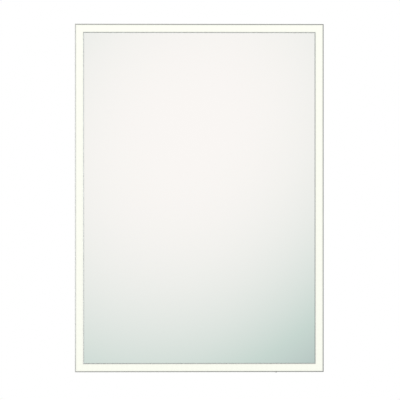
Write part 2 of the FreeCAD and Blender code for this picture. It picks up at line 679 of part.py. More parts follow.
# ---------------------------------------------------------------- frame profiles
def profile_outline(reach):
    """The frame profile's section in (depth, height) for a side whose outer face is at height reach."""
    chamfer = cell("lip_chamfer")
    groove_end = cell("groove_start") + cell("groove_width")
    inner_groove = channel_end + cell("groove_depth")
    outer_groove = cell("outer_wall") - cell("groove_depth")
    ledge_end = profile_width + cell("ledge_width")
    bead_end = cell("outer_wall") + cell("bead_width")
    bead_front = cell("frame_depth") - cell("web")
    section = [
        (chamfer, 0), (0, chamfer),
        (0, cell("frame_depth")),
        (bead_end, cell("frame_depth")), (bead_end, bead_front), (cell("outer_wall"), bead_front),
        (cell("outer_wall"), panel_front), (profile_width, panel_front),
        (profile_width, ledge_back), (ledge_end, ledge_back),
        (ledge_end, ledge_front), (profile_width, ledge_front),
        (profile_width, chamfer), (profile_width - chamfer, 0),
        (channel_end + chamfer, 0), (channel_end, chamfer),
        (channel_end, cell("groove_start")), (inner_groove, cell("groove_start")),
        (inner_groove, groove_end), (channel_end, groove_end),
        (channel_end, cell("channel_depth")), (cell("outer_wall"), cell("channel_depth")),
        (cell("outer_wall"), groove_end), (outer_groove, groove_end),
        (outer_groove, cell("groove_start")), (cell("outer_wall"), cell("groove_start")),
        (cell("outer_wall"), chamfer), (cell("outer_wall") - chamfer, 0),
    ]
    return [(depth, reach - inward) for inward, depth in section]


def frame_profile(side):
    """One mitred length of the frame, with the holes for its grub screws and for the rear panel's screws."""
    turn, reach, half_length = SIDES[side]
    label = f"frame_{side}_profile"
    chamber = rectangle(chamber_start, chamber_end, reach - channel_end, reach - cell("outer_wall"))
    body = prism(label, "X", [profile_outline(reach), chamber], -half_length, half_length)
    mitre(body, reach, half_length, profile_width + cell("ledge_width"), 0)
    hole = cell("grub_radius") + clearance
    places = [half_length - cell("grub_near"), half_length - cell("grub_far")]
    grubs = [(sign * place, chamber_middle, hole) for place in places for sign in (1, -1)]
    web_face = reach - profile_width
    cut(body, "Z", grubs, web_face - 1, web_face + cell("inner_wall") + cell("key_fit") / 2)
    pilot = cell("panel_screw_radius") + clearance
    screws = [(x, reach - channel_middle, pilot) for x in panel_screw_places(side)]
    cut(body, "Y", screws, chamber_end - cell("key_fit") / 2, panel_front + 1)
    hang(body, turn)
    return body


def panel_screw_places(side):
    """How far from the middle of a side its panel screws are."""
    half_length = SIDES[side][2]
    amount = count("screws_across") if side in ("top", "bottom") else count("screws_upright")
    return spread(amount, half_length - cell("panel_screw_end"))


def frame():
    """The four profiles, with the switch's cut-out in the bottom one and the lamp lead's hole in the left."""
    for side in SIDES:
        frame_profile(side)
    bottom = parts["frame_bottom_profile"]
    fit = cell("cutout_fit")
    across = -switch_x
    outside = centred(cell("switch_length") + 2 * fit, cell("switch_width") + 2 * fit, across, chamber_middle)
    cut(bottom, "Z", [outside], half_height - cell("outer_wall") - 1, half_height + 1)
    window = cell("tab_width") + 2 * cell("tab_window")
    inside = centred(cell("switch_length"), window, across, chamber_middle)
    cut(bottom, "Z", [inside], half_height - profile_width - 1, half_height - channel_end + 1)
    left = parts["frame_left_profile"]
    hole = (lamp_lead_height, lead_hole_depth, cell("lamp_lead_radius") + clearance)
    cut(left, "Z", [hole], half_width - profile_width - 1, half_width - channel_end + cell("cover_fit"))


# ---------------------------------------------------------------- corner keys
def corner_key(label, turn, x, z):
    """An L-shaped key whose arms lie in the chambers of two profiles, modelled about the frame's corner."""
    outer = cell("outer_wall") + cell("key_fit")
    inner = channel_end - cell("key_fit")
    end = cell("outer_wall") + cell("key_arm")
    chamfer = cell("key_chamfer")
    outline = [
        (-end, -outer), (-outer - chamfer, -outer), (-outer, -outer - chamfer), (-outer, -end),
        (-inner, -end), (-inner, -inner), (-end, -inner),
    ]
    low = chamber_start + cell("key_fit")
    high = chamber_end - cell("key_fit")
    body = prism(label, "Y", [outline], low, high)
    hole = cell("grub_radius") + clearance
    places = (cell("grub_near"), cell("grub_far"))
    cut(body, "Z", [(-place, chamber_middle, hole) for place in places], -inner - 1, -outer + 1)
    cut(body, "X", [(chamber_middle, -place, hole) for place in places], -inner - 1, -outer + 1)
    hang(body, turn, x, z)
    return body


def grub_screws():
    """Two grub screws for each arm of each key, driven in from the frame's inside."""
    radius = cell("grub_radius").value
    tip = (cell("outer_wall") + cell("grub_end_gap")).value
    head = (profile_width - cell("grub_recess")).value
    depth = cell("socket_depth").value
    body = turned_profile([
        (0, tip), (0.6 * radius, tip), (radius, tip + cell("grub_point").value), (radius, head), (0, head),
    ])
    socket = hexagon(cell("socket_flats").value, 0, head - depth, 0).extrude(Vector(0, depth, 0))
    body = body.cut(socket)
    # The screw is drawn along the depth, and stands on its head's side towards the mirror's middle.
    body.rotate(Vector(0, 0, 0), Vector(1, 0, 0), -90)
    screws = []
    for turn, reach, half_length in SIDES.values():
        for sign in (1, -1):
            for place in ("grub_near", "grub_far"):
                x = sign * (half_length - cell(place)).value
                screws.append(moved(moved(body, x, chamber_middle.value, reach.value), turn=turn))
    hang(group("corner_key_grub_screws", screws))


def corner_keys():
    """The four keys and their grub screws."""
    corner_key("corner_key_top_right", 0, half_width, half_height)
    corner_key("corner_key_bottom_right", 90, half_width, -half_height)
    corner_key("corner_key_bottom_left", 180, -half_width, -half_height)
    corner_key("corner_key_top_left", 270, -half_width, half_height)
    grub_screws()


# ---------------------------------------------------------------- lit channel
def opal_cover(side):
    """One mitred length of the snap-in opal cover: a flat face on two legs with barbs."""
    turn, reach, half_length = SIDES[side]
    near = cell("outer_wall") + cell("cover_fit")
    far = channel_end - cell("cover_fit")
    leg = cell("cover_leg")
    face = cell("cover_recess")
    back = face + cell("cover_thickness")
    end = cell("cover_leg_depth")
    barb_start = cell("groove_start") + cell("cover_fit")
    barb_end = cell("groove_start") + cell("groove_width") - cell("cover_fit")
    barb = cell("barb_height")
    section = [
        (near, face), (near, barb_start), (near - barb, barb_start), (near, barb_end),
        (near, end), (near + leg, end), (near + leg, back),
        (far - leg, back), (far - leg, end), (far, end),
        (far, barb_end), (far + barb, barb_start), (far, barb_start), (far, face),
    ]
    outline = [(depth, reach - inward) for inward, depth in section]
    body = prism(f"opal_cover_{side}", "X", [outline], -half_length, half_length)
    mitre(body, reach, half_length, profile_width, cell("mitre_gap"))
    hang(body, turn)


def led_strip(side):
    """An LED strip's thin board along the lit channel's floor. Its row of chips is returned."""
    turn, reach, half_length = SIDES[side]
    half_board = half_length - channel_end - cell("board_end_gap")
    middle = board_front + cell("board_thickness") / 2
    across = centred(cell("board_thickness"), cell("board_width"), middle, reach - channel_middle)
    board = prism(f"led_board_{side}", "X", [across], -half_board, half_board)
    hang(board, turn)
    pitch = cell("chip_pitch").value
    room = 2 * half_board.value - cell("chip_length").value - pitch
    chips = int(room // pitch) + 1
    length, width, height = (cell(f"chip_{name}").value for name in ("length", "width", "height"))
    corner = Vector(-length / 2, board_front.value - height, (reach - channel_middle).value - width / 2)
    chip = Part.makeBox(length, height, width, corner)
    places = [(index - (chips - 1) / 2) * pitch for index in range(chips)]
    return [moved(moved(chip, x), turn=turn) for x in places]


def board_links():
    """Three bent links that join the strips' boards round the corners, all but the bottom left one."""
    radius = cell("link_radius").value
    depth = (board_front - cell("link_gap")).value - radius
    inward = channel_middle.value
    reach = (channel_end + cell("board_end_gap") + cell("link_lap")).value
    route = [(-reach, depth, -inward), (-inward, depth, -inward), (-inward, depth, -reach)]
    link = tube(route, radius, 0.5 * (reach - inward))
    corners = [
        (0, half_width, half_height),
        (90, half_width, -half_height),
        (270, -half_width, half_height),
    ]
    links = [moved(link, x.value, 0, z.value, turn) for turn, x, z in corners]
    hang(group("led_corner_links", links))


def lit_channel():
    """Covers, strips and links of all four sides."""
    chips = []
    for side in SIDES:
        opal_cover(side)
        chips += led_strip(side)
    hang(group("led_chips", chips))
    board_links()


# ---------------------------------------------------------------- mirror pane
def mirror_pane():
    """The pane with its ground bevel, the film behind it, and the tape that holds it on the ledge."""
    margin = profile_width + cell("glass_gap")
    width = 2 * (half_width - margin)
    height = 2 * (half_height - margin)
    glass = prism("mirror_glass", "Y", [centred(width, height)], cell("glass_recess"), glass_back)
    front = edges_where(glass, lambda p: abs(p.y - cell("glass_recess").value) < 1e-3)
    dress(glass, "Chamfer", front, cell("arris"))
    hang(glass)
    bare = 2 * cell("backing_margin")
    hang(prism("mirror_backing_film", "Y", [centred(width - bare, height - bare)], glass_back, backing_back))
    for side, (turn, reach, half_length) in SIDES.items():
        # Each tape starts at a corner and stops short of the next one.
        outer = profile_width + cell("tape_margin")
        inner = outer + cell("tape_width")
        end = half_length - inner - cell("tape_gap")
        outline = rectangle(-half_length + outer, end, reach - inner, reach - outer)
        hang(prism(f"mounting_tape_{side}", "Y", [outline], backing_back, ledge_front), turn)


# ---------------------------------------------------------------- rear panel
driver_half = cell("driver_length") / 2
box_middle = cell("box_rise")
driver_middle = cell("driver_rise")
ear_place = driver_half + cell("driver_ear") / 2
box_screw_place = cell("box_width") / 2 - cell("box_screw_inset")
outlet_x = cell("box_width") / 2 - cell("outlet_offset")
outlet_z = box_middle - cell("outlet_drop")
inlet_x = -cell("box_width") / 2 + cell("inlet_offset")
stud_x = -cell("box_width") / 2 + cell("stud_offset")
stud_z = box_middle + cell("stud_rise")
small_hole = cell("small_screw_radius") + clearance
spacer_x = half_width - cell("spacer_inset")
spacer_z = -half_height + cell("spacer_inset")
web_height = cell("upstand_top") - centre_rise
rivet_height = web_height + (cell("rail_thickness") + cell("hook_flange")) / 2
lead_depth = panel_front - cell("lead_stand") - cell("mains_lead_radius")
lead_hole_depth = board_front - cell("lamp_lead_gap") - cell("lamp_lead_radius")
lamp_lead_height = driver_middle - cell("lamp_lead_drop")
lead_column_x = driver_half + cell("lead_column")
switch_x = half_width - cell("switch_offset")


def rivet_places():
    """How far from the middle line the hook's rivets are."""
    return spread(count("rivet_count"), cell("hook_length") / 2 - cell("rivet_end"))


def rear_panel():
    """The sheet that closes the back, with swages, ventilation slots and holes for all that it carries."""
    edge = cell("outer_wall") + cell("panel_edge_gap")
    sheet_outline = centred(2 * (half_width - edge), 2 * (half_height - edge))
    body = prism("rear_panel", "Y", [sheet_outline], panel_front, panel_back)
    width, length = cell("swage_width"), cell("swage_length")
    swage_places = [(sign * cell("swage_offset"), -cell("swage_drop")) for sign in (1, -1)]
    swages = [centred(width, length, x, z) for x, z in swage_places]
    add(body, "Y", swages, panel_back, panel_back + cell("swage_height"))
    top = (panel_back + cell("swage_height")).value
    dress(body, "Chamfer", edges_where(body, lambda p: abs(p.y - top) < 1e-3), cell("swage_chamfer"))
    inner = 2 * cell("panel_thickness") + cell("swage_chamfer")
    hollows = [centred(width - inner, length - inner, x, z) for x, z in swage_places]
    cut(body, "Y", hollows, panel_front, panel_back + cell("swage_height") - cell("panel_thickness"))
    cut(body, "Y", panel_holes(), panel_front - 1, panel_back + 1)
    for height in (driver_middle + cell("vent_rise"), driver_middle - cell("vent_drop")):
        first = -cell("vent_pitch") * ((count("vent_count") - 1) / 2)
        slot = (first, height, cell("vent_length"), cell("vent_width"), True)
        pocket = cut(body, "Y", [slot], panel_front - 1, panel_back + 1)
        repeat_cut(body, pocket, "X", cell("vent_pitch"), count("vent_count"))
    hang(body)


def panel_holes():
    """The rear panel's round holes: screws, rivets, the lead outlet and the earth stud."""
    holes = []
    pilot = cell("panel_screw_radius") + clearance
    for side, (turn, reach, half_length) in SIDES.items():
        for place in panel_screw_places(side):
            along = place * (-1 if turn in (90, 180) else 1)
            out = (reach - channel_middle) * (-1 if turn in (180, 270) else 1)
            holes.append((along, out, pilot) if turn in (0, 180) else (out, along, pilot))
    holes += [(x, rivet_height, cell("rivet_radius") + clearance) for x in rivet_places()]
    holes += [(sign * ear_place, driver_middle, small_hole) for sign in (1, -1)]
    holes += [(sign * spacer_x, spacer_z, small_hole) for sign in (1, -1)]
    return holes + box_floor_holes()


def box_floor_holes():
    """The holes that go through the terminal box's floor and the rear panel alike."""
    holes = [(sign * box_screw_place, box_middle, small_hole) for sign in (1, -1)]
    holes.append((outlet_x, outlet_z, cell("outlet_neck_radius") + cell("grommet_fit")))
    holes.append((stud_x, stud_z, small_hole))
    return holes


def panel_screws():
    """The screws that hold the rear panel to the frame."""
    one = screw(cell("panel_screw_radius").value, cell("panel_screw_length").value,
                cell("panel_head_radius").value, cell("panel_head_height").value)
    screws = []
    for side, (turn, reach, half_length) in SIDES.items():
        for place in panel_screw_places(side):
            at = moved(one, place.value, panel_back.value, (reach - channel_middle).value)
            screws.append(moved(at, turn=turn))
    hang(group("rear_panel_screws", screws))


# ---------------------------------------------------------------- wall rail and hook
def wall_rail():
    """The rail that is screwed to the wall. Its upstand stands off the wall and points up."""
    thickness = cell("rail_thickness")
    low = -cell("rail_half_height")
    step = cell("rail_half_height")
    upstand_back = cell("upstand_gap")
    upstand_front = upstand_back + thickness
    section = [
        (0, low), (-thickness, low), (-thickness, step - thickness), (-upstand_front, step - thickness),
        (-upstand_front, cell("upstand_top")), (-upstand_back, cell("upstand_top")),
        (-upstand_back, step), (0, step),
    ]
    half = cell("rail_length") / 2
    body = prism("wall_rail", "X", [section], -half, half)
    radius = cell("wall_hole_radius")
    holes = [(sign * cell("wall_hole_spacing") / 2, 0, radius) for sign in (1, -1)]
    slots = [
        (sign * cell("wall_slot_spacing") / 2, 0, cell("wall_slot_length"), 2 * radius) for sign in (1, -1)
    ]
    cut(body, "Y", holes + slots, -thickness - 1, 1)


def hook():
    """The rail on the rear panel whose down-turned flange drops behind the wall rail's upstand."""
    thickness = cell("rail_thickness")
    flange_back = wall_plane - cell("hook_wall_gap")
    flange_front = flange_back - thickness
    top = web_height + thickness
    tip = web_height - cell("hook_drop")
    flange_top = web_height + cell("hook_flange")
    seat = panel_back + thickness
    section = [
        (panel_back, web_height), (flange_front, web_height), (flange_front, tip), (flange_back, tip),
        (flange_back, top), (seat, top), (seat, flange_top), (panel_back, flange_top),
    ]
    half = cell("hook_length") / 2
    body = prism("hook_rail", "X", [section], -half, half)
    hole = cell("rivet_radius") + clearance
    cut(body, "Y", [(x, rivet_height, hole) for x in rivet_places()], panel_back - 1, seat + 1)
    hang(body)
    hook_rivets(seat.value)


def hook_rivets(seat):
    """The blind rivets that hold the hook on the rear panel, with their heads on the hook, at depth seat."""
    shank = cell("rivet_radius").value
    head = cell("rivet_head_radius").value
    head_end = seat + cell("rivet_head_height").value
    tail = cell("rivet_tail_radius").value
    tail_start = panel_front.value - cell("rivet_tail_height").value
    rim = seat + cell("rivet_rim").value
    bevel = cell("rivet_bevel").value
    rivet = turned_profile([
        (0, tail_start), (0.6 * tail, tail_start), (tail, tail_start + bevel), (tail, panel_front.value),
        (shank, panel_front.value), (shank, seat), (head, seat), (head, rim), (0.6 * head, head_end),
        (0.25 * head, head_end), (0.25 * head, head_end - bevel), (0, head_end - bevel),
    ])
    hang(group("hook_rivets", [moved(rivet, x.value, 0, rivet_height.value) for x in rivet_places()]))


def spacers():
    """The two spacers that keep the mirror's bottom off the wall, each with a rubber pad and a screw."""
    pad_start = wall_plane - cell("spacer_pad_thickness")
    pads = []
    for name, sign in (("right", 1), ("left", -1)):
        x = sign * spacer_x
        outline = (x, spacer_z, cell("spacer_radius"))
        post = prism(f"wall_spacer_{name}", "Y", [outline], panel_back, pad_start)
        cut(post, "Y", [(x, spacer_z, small_hole)], panel_back - 1, panel_back + cell("spacer_screw_length"))
        hang(post)
        foot = Vector(x.value, pad_start.value, spacer_z.value)
        thickness = cell("spacer_pad_thickness").value
        pads.append(Part.makeCylinder(cell("spacer_pad_radius").value, thickness, foot, Vector(0, 1, 0)))
    hang(group("wall_spacer_pads", pads))
    one = small_screw("spacer_screw_length")
    one.rotate(Vector(0, 0, 0), Vector(0, 0, 1), 180)
    screws = [moved(one, sign * spacer_x.value, panel_front.value, spacer_z.value) for sign in (1, -1)]
    hang(group("wall_spacer_screws", screws))


# ---------------------------------------------------------------- terminal box
box_floor = panel_back + cell("box_wall")
box_rim = panel_back + cell("box_depth") - cell("box_wall")
inlet_depth = panel_back + cell("box_depth") / 2
box_bottom = box_middle - cell("box_height") / 2
block_x = cell("block_offset")
block_z = box_middle + cell("block_rise")
block_middle = box_floor + cell("block_depth") / 2
lid_post_x = cell("box_width") / 2 - cell("lid_post_inset")
lid_post_z = cell("box_height") / 2 - cell("lid_post_inset")
clamp_z = box_bottom + cell("clamp_rise")
clamp_post_x = cell("clamp_length") / 2 - cell("clamp_width") / 2
clamp_depth = box_floor + 2 * cell("inlet_radius") + cell("clamp_play")


def lid_posts():
    """The two opposite corners of the terminal box where the lid is screwed down, clear of the cord clamp."""
    return [(sign * lid_post_x, box_middle - sign * lid_post_z) for sign in (1, -1)]


def terminal_box():
    """The box on the rear panel in which the supply cable is connected, with its lid and screws."""
    wall = cell("box_wall")
    outline = centred(cell("box_width"), cell("box_height"), 0, box_middle)
    body = prism("terminal_box_base", "Y", [outline], panel_back, box_rim)
    dress(body, "Fillet", corners_of(body, panel_back, box_rim), cell("box_fillet"))
    room = centred(cell("box_width") - 2 * wall, cell("box_height") - 2 * wall, 0, box_middle)
    cut(body, "Y", [room], box_floor, box_rim + 1)
    posts = [(x, z, cell("post_radius")) for x, z in lid_posts()]
    add(body, "Y", posts, box_floor - wall / 2, box_rim)
    clamp_posts = [(inlet_x + sign * clamp_post_x, clamp_z, cell("post_radius")) for sign in (1, -1)]
    add(body, "Y", clamp_posts, box_floor - wall / 2, clamp_depth)
    drilled = [(x, z, small_hole) for x, z, radius in posts + clamp_posts]
    cut(body, "Y", drilled, box_floor, box_rim + 1)
    cut(body, "Y", box_floor_holes(), panel_back - 1, box_floor + 1)
    inlet = (inlet_x, inlet_depth, cell("inlet_neck_radius") + cell("grommet_fit"))
    cut(body, "Z", [inlet], box_bottom - 1, box_bottom + wall + 1)
    hang(body)

    lid = prism("terminal_box_lid", "Y", [outline], box_rim, box_rim + wall)
    dress(lid, "Fillet", corners_of(lid, box_rim, box_rim + wall), cell("box_fillet"))
    rib = centred(cell("box_width") * 0.55, wall, 0, box_middle - cell("box_height") * 0.3)
    cut(lid, "Y", [rib], box_rim + wall * 0.6, box_rim + wall + 1)
    cut(lid, "Y", [(x, z, small_hole) for x, z in lid_posts()], box_rim - 1, box_rim + wall + 1)
    head = cell("small_head_radius") + clearance
    cut(lid, "Y", [(x, z, head) for x, z in lid_posts()], box_rim + wall / 2, box_rim + wall + 1)
    hang(lid)
    terminal_box_screws()


def terminal_box_screws():
    """The screws of the box's lid, of the box itself and of the cord clamp."""
    lid_seat = box_rim + cell("box_wall") / 2
    clamp_seat = clamp_depth + cell("clamp_thickness")
    long, short = small_screw("lid_screw_length"), small_screw("box_screw_length")
    screws = [moved(long, x.value, lid_seat.value, z.value) for x, z in lid_posts()]
    for sign in (1, -1):
        clamp_x = inlet_x + sign * clamp_post_x
        screws.append(moved(long, clamp_x.value, clamp_seat.value, clamp_z.value))
        screws.append(moved(short, sign * box_screw_place.value, box_floor.value, box_middle.value))
    hang(group("terminal_box_screws", screws))


def cord_clamp():
    """The bar that is screwed down on the supply cable inside the box."""
    outline = centred(cell("clamp_length"), cell("clamp_width"), inlet_x, clamp_z)
    body = prism("cord_clamp_bar", "Y", [outline], clamp_depth, clamp_depth + cell("clamp_thickness"))
    holes = [(inlet_x + sign * clamp_post_x, clamp_z, small_hole) for sign in (1, -1)]
    cut(body, "Y", holes, clamp_depth - 1, clamp_depth + cell("clamp_thickness") + 1)
    hang(body)


def inlet_grommet():
    """The rubber bush in the box's lower wall through which the supply cable enters, from below."""
    flange = cell("inlet_flange")
    end = box_bottom - flange
    top = end + cell("inlet_length")
    collar = (inlet_x, inlet_depth, cell("inlet_flange_radius"))
    body = prism("supply_inlet_grommet", "Z", [collar], end, box_bottom)
    add(body, "Z", [(inlet_x, inlet_depth, cell("inlet_neck_radius"))], box_bottom - flange / 2, top)
    cut(body, "Z", [(inlet_x, inlet_depth, cell("inlet_radius"))], end - 1, top + 1)
    rim = edges_where(body, lambda p: abs(p.z - end.value) < 1e-3)
    outer = [name for name in rim if is_wide(body, name, cell("inlet_flange_radius").value)]
    dress(body, "Fillet", outer, flange * 0.4)
    hang(body)


def is_wide(body, name, radius):
    """Whether a named edge of the body's tip is a circle of that radius."""
    edge = body.Tip.Shape.getElement(name)
    return abs(edge.Curve.Radius - radius) < 1e-3


def outlet_grommet():
    """The bush round the driver's lead where it passes through the box's floor and the rear panel."""
    low, high = panel_front - cell("outlet_end"), box_floor + cell("outlet_end")
    neck = cell("outlet_neck_radius")
    collar = (outlet_x, outlet_z, neck + cell("outlet_collar"))
    body = prism("lead_outlet_grommet", "Y", [collar], low, panel_front)
    add(body, "Y", [(outlet_x, outlet_z, neck)], low, high)
    cut(body, "Y", [(outlet_x, outlet_z, cell("outlet_radius"))], low - 1, high + 1)
    hang(body)


def terminal_block():
    """A three-pole terminal block with its brass inserts and clamping screws."""
    pitch = cell("block_pitch")
    width = 3 * pitch
    poles = [block_x + pitch * (index - 1) for index in range(3)]
    back = box_floor + cell("block_depth")
    half = cell("block_height") / 2
    outline = centred(width, cell("block_height"), block_x, block_z)
    body = prism("terminal_block", "Y", [outline], box_floor, back)
    notch_width, notch_height = cell("block_notch_width"), 2 * cell("block_notch_depth")
    notches = [
        centred(notch_width, notch_height, block_x + pitch * side, block_z + end)
        for side in (-0.5, 0.5) for end in (half, -half)
    ]
    cut(body, "Y", notches, box_floor - 1, back + 1)
    bore = cell("insert_radius") + cell("insert_fit")
    cut(body, "Z", [(x, block_middle, bore) for x in poles], block_z - half - 1, block_z + half + 1)
    screw_z = cell("block_height") / 4
    well = cell("small_screw_radius") + cell("block_well_gap")
    wells = [(x, block_z + sign * screw_z, well) for x in poles for sign in (1, -1)]
    cut(body, "Y", wells, block_middle, back + 1)
    hang(body)

    radius, hollow = cell("insert_radius").value, cell("insert_bore").value
    length = (cell("block_height") - 2 * cell("insert_end")).value
    start = Vector(0, 0, -length / 2)
    up = Vector(0, 0, 1)
    insert = Part.makeCylinder(radius, length, start, up).cut(Part.makeCylinder(hollow, length, start, up))
    thread = cell("small_screw_radius").value
    for sign in (1, -1):
        place = Vector(0, 0, sign * screw_z.value)
        tapped = Part.makeCylinder(thread + clearance.value, 2 * radius, place, Vector(0, 1, 0))
        insert = insert.cut(tapped)
    inserts = [moved(insert, x.value, block_middle.value, block_z.value) for x in poles]
    hang(group("terminal_inserts", inserts))

    tip = cell("clamping_screw_start").value
    head = (cell("block_depth") / 2 - cell("clamping_screw_recess")).value
    slot_width = 0.4 * thread
    one = Part.makeCylinder(thread, head - tip, Vector(0, tip, 0), Vector(0, 1, 0))
    slot_corner = Vector(-2 * thread, head - slot_width, -slot_width / 2)
    one = one.cut(Part.makeBox(4 * thread, 2 * slot_width, slot_width, slot_corner))
    screws = [
        moved(one, x.value, block_middle.value, block_z.value + sign * screw_z.value)
        for x in poles for sign in (1, -1)
    ]
    hang(group("terminal_screws", screws))


def earth_stud():
    """A stud through the box's floor and the rear panel, with a nut on each side."""
    radius = cell("small_screw_radius").value
    height = cell("nut_height").value
    x, z = stud_x.value, stud_z.value
    hole = radius + clearance.value / 2
    start = panel_front.value - height - cell("stud_front_end").value
    end = box_floor.value + height + cell("stud_back_end").value
    pieces = [Part.makeCylinder(radius, end - start, Vector(x, start, z), Vector(0, 1, 0))]
    for low in (panel_front.value - height, box_floor.value):
        blank = hexagon(cell("nut_flats").value, x, low, z).extrude(Vector(0, height, 0))
        bore = Part.makeCylinder(hole, height + 2, Vector(x, low - 1, z), Vector(0, 1, 0))
        pieces.append(blank.cut(bore))
    hang(group("earth_stud_and_nuts", pieces))


# ---------------------------------------------------------------- driver
def driver():
    """The lamp's driver on the rear panel's inner face: a tray, a lid, and a circuit board with its parts."""
    wall = cell("driver_wall")
    back = panel_front
    front = panel_front - cell("driver_depth")
    lid_back = front + wall
    outline = centred(cell("driver_length"), cell("driver_height"), 0, driver_middle)
    body = prism("driver_case", "Y", [outline], lid_back, back)
    dress(body, "Fillet", corners_of(body, lid_back, back), cell("driver_fillet"))
    room = centred(cell("driver_length") - 2 * wall, cell("driver_height") - 2 * wall, 0, driver_middle)
    cut(body, "Y", [room], lid_back - 1, back - wall)
    for sign in (1, -1):
        ear_x = sign * (ear_place - wall / 2)
        ear = centred(cell("driver_ear") + wall, cell("ear_width"), ear_x, driver_middle)
        add(body, "Y", [ear], back - 2 * wall, back)
    ear_holes = [(sign * ear_place, driver_middle, small_hole) for sign in (1, -1)]
    cut(body, "Y", ear_holes, back - 2 * wall - 1, back + 1)
    rise = cell("lead_rise")
    mains_hole = cell("mains_lead_radius") + clearance
    mains = [(lead_depth, driver_middle + sign * rise, mains_hole) for sign in (1, -1)]
    cut(body, "X", mains, driver_half - wall - 1, driver_half + 1)
    lamp = (lead_depth, driver_middle - rise, cell("lamp_lead_radius") + clearance)
    cut(body, "X", [lamp], -driver_half - 1, -driver_half + wall + 1)
    post_x = driver_half - cell("driver_post_inset")
    posts = [(sign * post_x, driver_middle) for sign in (1, -1)]
    add(body, "Y", [(x, z, cell("post_radius")) for x, z in posts], lid_back, back - wall / 2)
    pilot_end = front + cell("driver_screw_length") + 1
    cut(body, "Y", [(x, z, small_hole) for x, z in posts], lid_back - 1, pilot_end)
    hang(body)

    lid = prism("driver_lid", "Y", [outline], front, lid_back)
    dress(lid, "Fillet", corners_of(lid, front, lid_back), cell("driver_fillet"))
    cut(lid, "Y", [(x, z, small_hole) for x, z in posts], front - 1, lid_back + 1)
    hang(lid)
    long, short = small_screw("driver_screw_length"), small_screw("ear_screw_length")
    long.rotate(Vector(0, 0, 0), Vector(0, 0, 1), 180)
    screws = [moved(long, x.value, front.value, z.value) for x, z in posts]
    for sign in (1, -1):
        screws.append(moved(short, sign * ear_place.value, panel_back.value, driver_middle.value))
    hang(group("driver_screws", screws))
    driver_circuit(back - wall)


def driver_circuit(floor):
    """The driver's circuit board on its standoffs, with a transformer, capacitors and small parts on it."""
    board_back = floor - cell("circuit_rise")
    parts_seat = board_back - cell("circuit_thickness")
    width = cell("driver_length") - 2 * (cell("driver_wall") + cell("circuit_end"))
    height = cell("driver_height") - 2 * (cell("driver_wall") + cell("circuit_edge"))
    outline = centred(width, height, 0, driver_middle)
    body = prism("driver_circuit_board", "Y", [outline], parts_seat, board_back)
    leg_x = width / 2 - cell("circuit_leg_inset")
    leg_z = height / 2 - cell("circuit_leg_inset")
    legs = [
        (side * leg_x, driver_middle + up * leg_z, cell("circuit_leg_radius"))
        for side in (1, -1) for up in (1, -1)
    ]
    add(body, "Y", legs, board_back - 0.2, floor)
    hang(body)
    seat = parts_seat.value
    middle = driver_middle.value
    core = circuit_part(0, seat, middle, *TRANSFORMER_CORE)
    winding = circuit_part(0, seat, middle, *TRANSFORMER_WINDING)
    pieces = [core.fuse(winding).removeSplitter()]
    for across, up, extent in CIRCUIT_PARTS:
        x, z = across * width.value / 2, middle + up * height.value / 2
        pieces.append(circuit_part(x, seat, z, *extent))
    hang(group("driver_components", pieces))


# Extents of what stands on the circuit board: a box's length, height and how tall it is, a can's radius and how
# tall it is.
TRANSFORMER_CORE = (20.0, 22.0, 9.0)
TRANSFORMER_WINDING = (24.0, 13.0, 8.2)
CIRCUIT_PARTS = [
    # places across and up the board, as shares of half its size, and the extent
    (0.5, 0.4, (4.0, 9.0)),
    (0.5, -0.4, (4.0, 9.0)),
    (-0.5, 0.45, (3.0, 8.0)),
    (-0.5, -0.2, (3.0, 8.0)),
    (-0.65, 0.15, (3.0, 8.0)),
    (0.8, 0.0, (13.0, 6.0, 8.0)),
    (-0.28, -0.5, (10.0, 4.0, 5.0)),
]


def circuit_part(x, seat, z, *extent):
    """A box or a can that stands on the circuit board's face at depth seat."""
    if len(extent) == 2:
        radius, tall = extent
        return Part.makeCylinder(radius, tall, Vector(x, seat, z), Vector(0, -1, 0))
    length, height, tall = extent
    return Part.makeBox(length, tall, height, Vector(x - length / 2, seat - tall, z - height / 2))


# ---------------------------------------------------------------- leads
def lead(label, route, radius, bend):
    """A lead through the points of a route, each an (across, depth, up) triple of sizes."""
    points = [tuple(size(number).value for number in point) for point in route]
    hang(group(label, [tube(points, radius.value, bend.value)]))


def supply_lead():
    """From the terminal block's right pole through the outlet grommet to the driver."""
    inside = driver_half - cell("driver_wall") - cell("lead_entry")
    entry = driver_middle + cell("lead_rise")
    pole = block_x + cell("block_pitch")
    lead("supply_lead", [
        (pole, block_middle, block_z - cell("block_height") / 2 - 0.7),
        (pole, block_middle, outlet_z),
        (outlet_x, block_middle, outlet_z),
        (outlet_x, lead_depth, outlet_z),
        (driver_half, lead_depth, outlet_z - 6),
        (driver_half + 30, lead_depth, driver_middle + 46),
        (driver_half + 26, lead_depth, entry),
        (inside, lead_depth, entry),
    ], cell("mains_lead_radius"), cell("lead_bend"))


def switch_lead():
    """From the driver down the right side, under its clips, to the rocker switch."""
    inside = driver_half - cell("driver_wall") - cell("lead_entry")
    entry = driver_middle - cell("lead_rise")
    tab_end = cell("switch_depth") + cell("tab_length") - half_height
    column = lead_column_x
    lead("switch_lead", [
        (inside, lead_depth, entry),
        (column - 12, lead_depth, entry),
        (column, lead_depth, entry - 50),
        (column, lead_depth, tab_end + 70),
        (switch_x, lead_depth, tab_end + 44),
        (switch_x, chamber_middle, tab_end + 12),
        (switch_x, chamber_middle, tab_end + 0.5),
    ], cell("mains_lead_radius"), cell("lead_bend"))


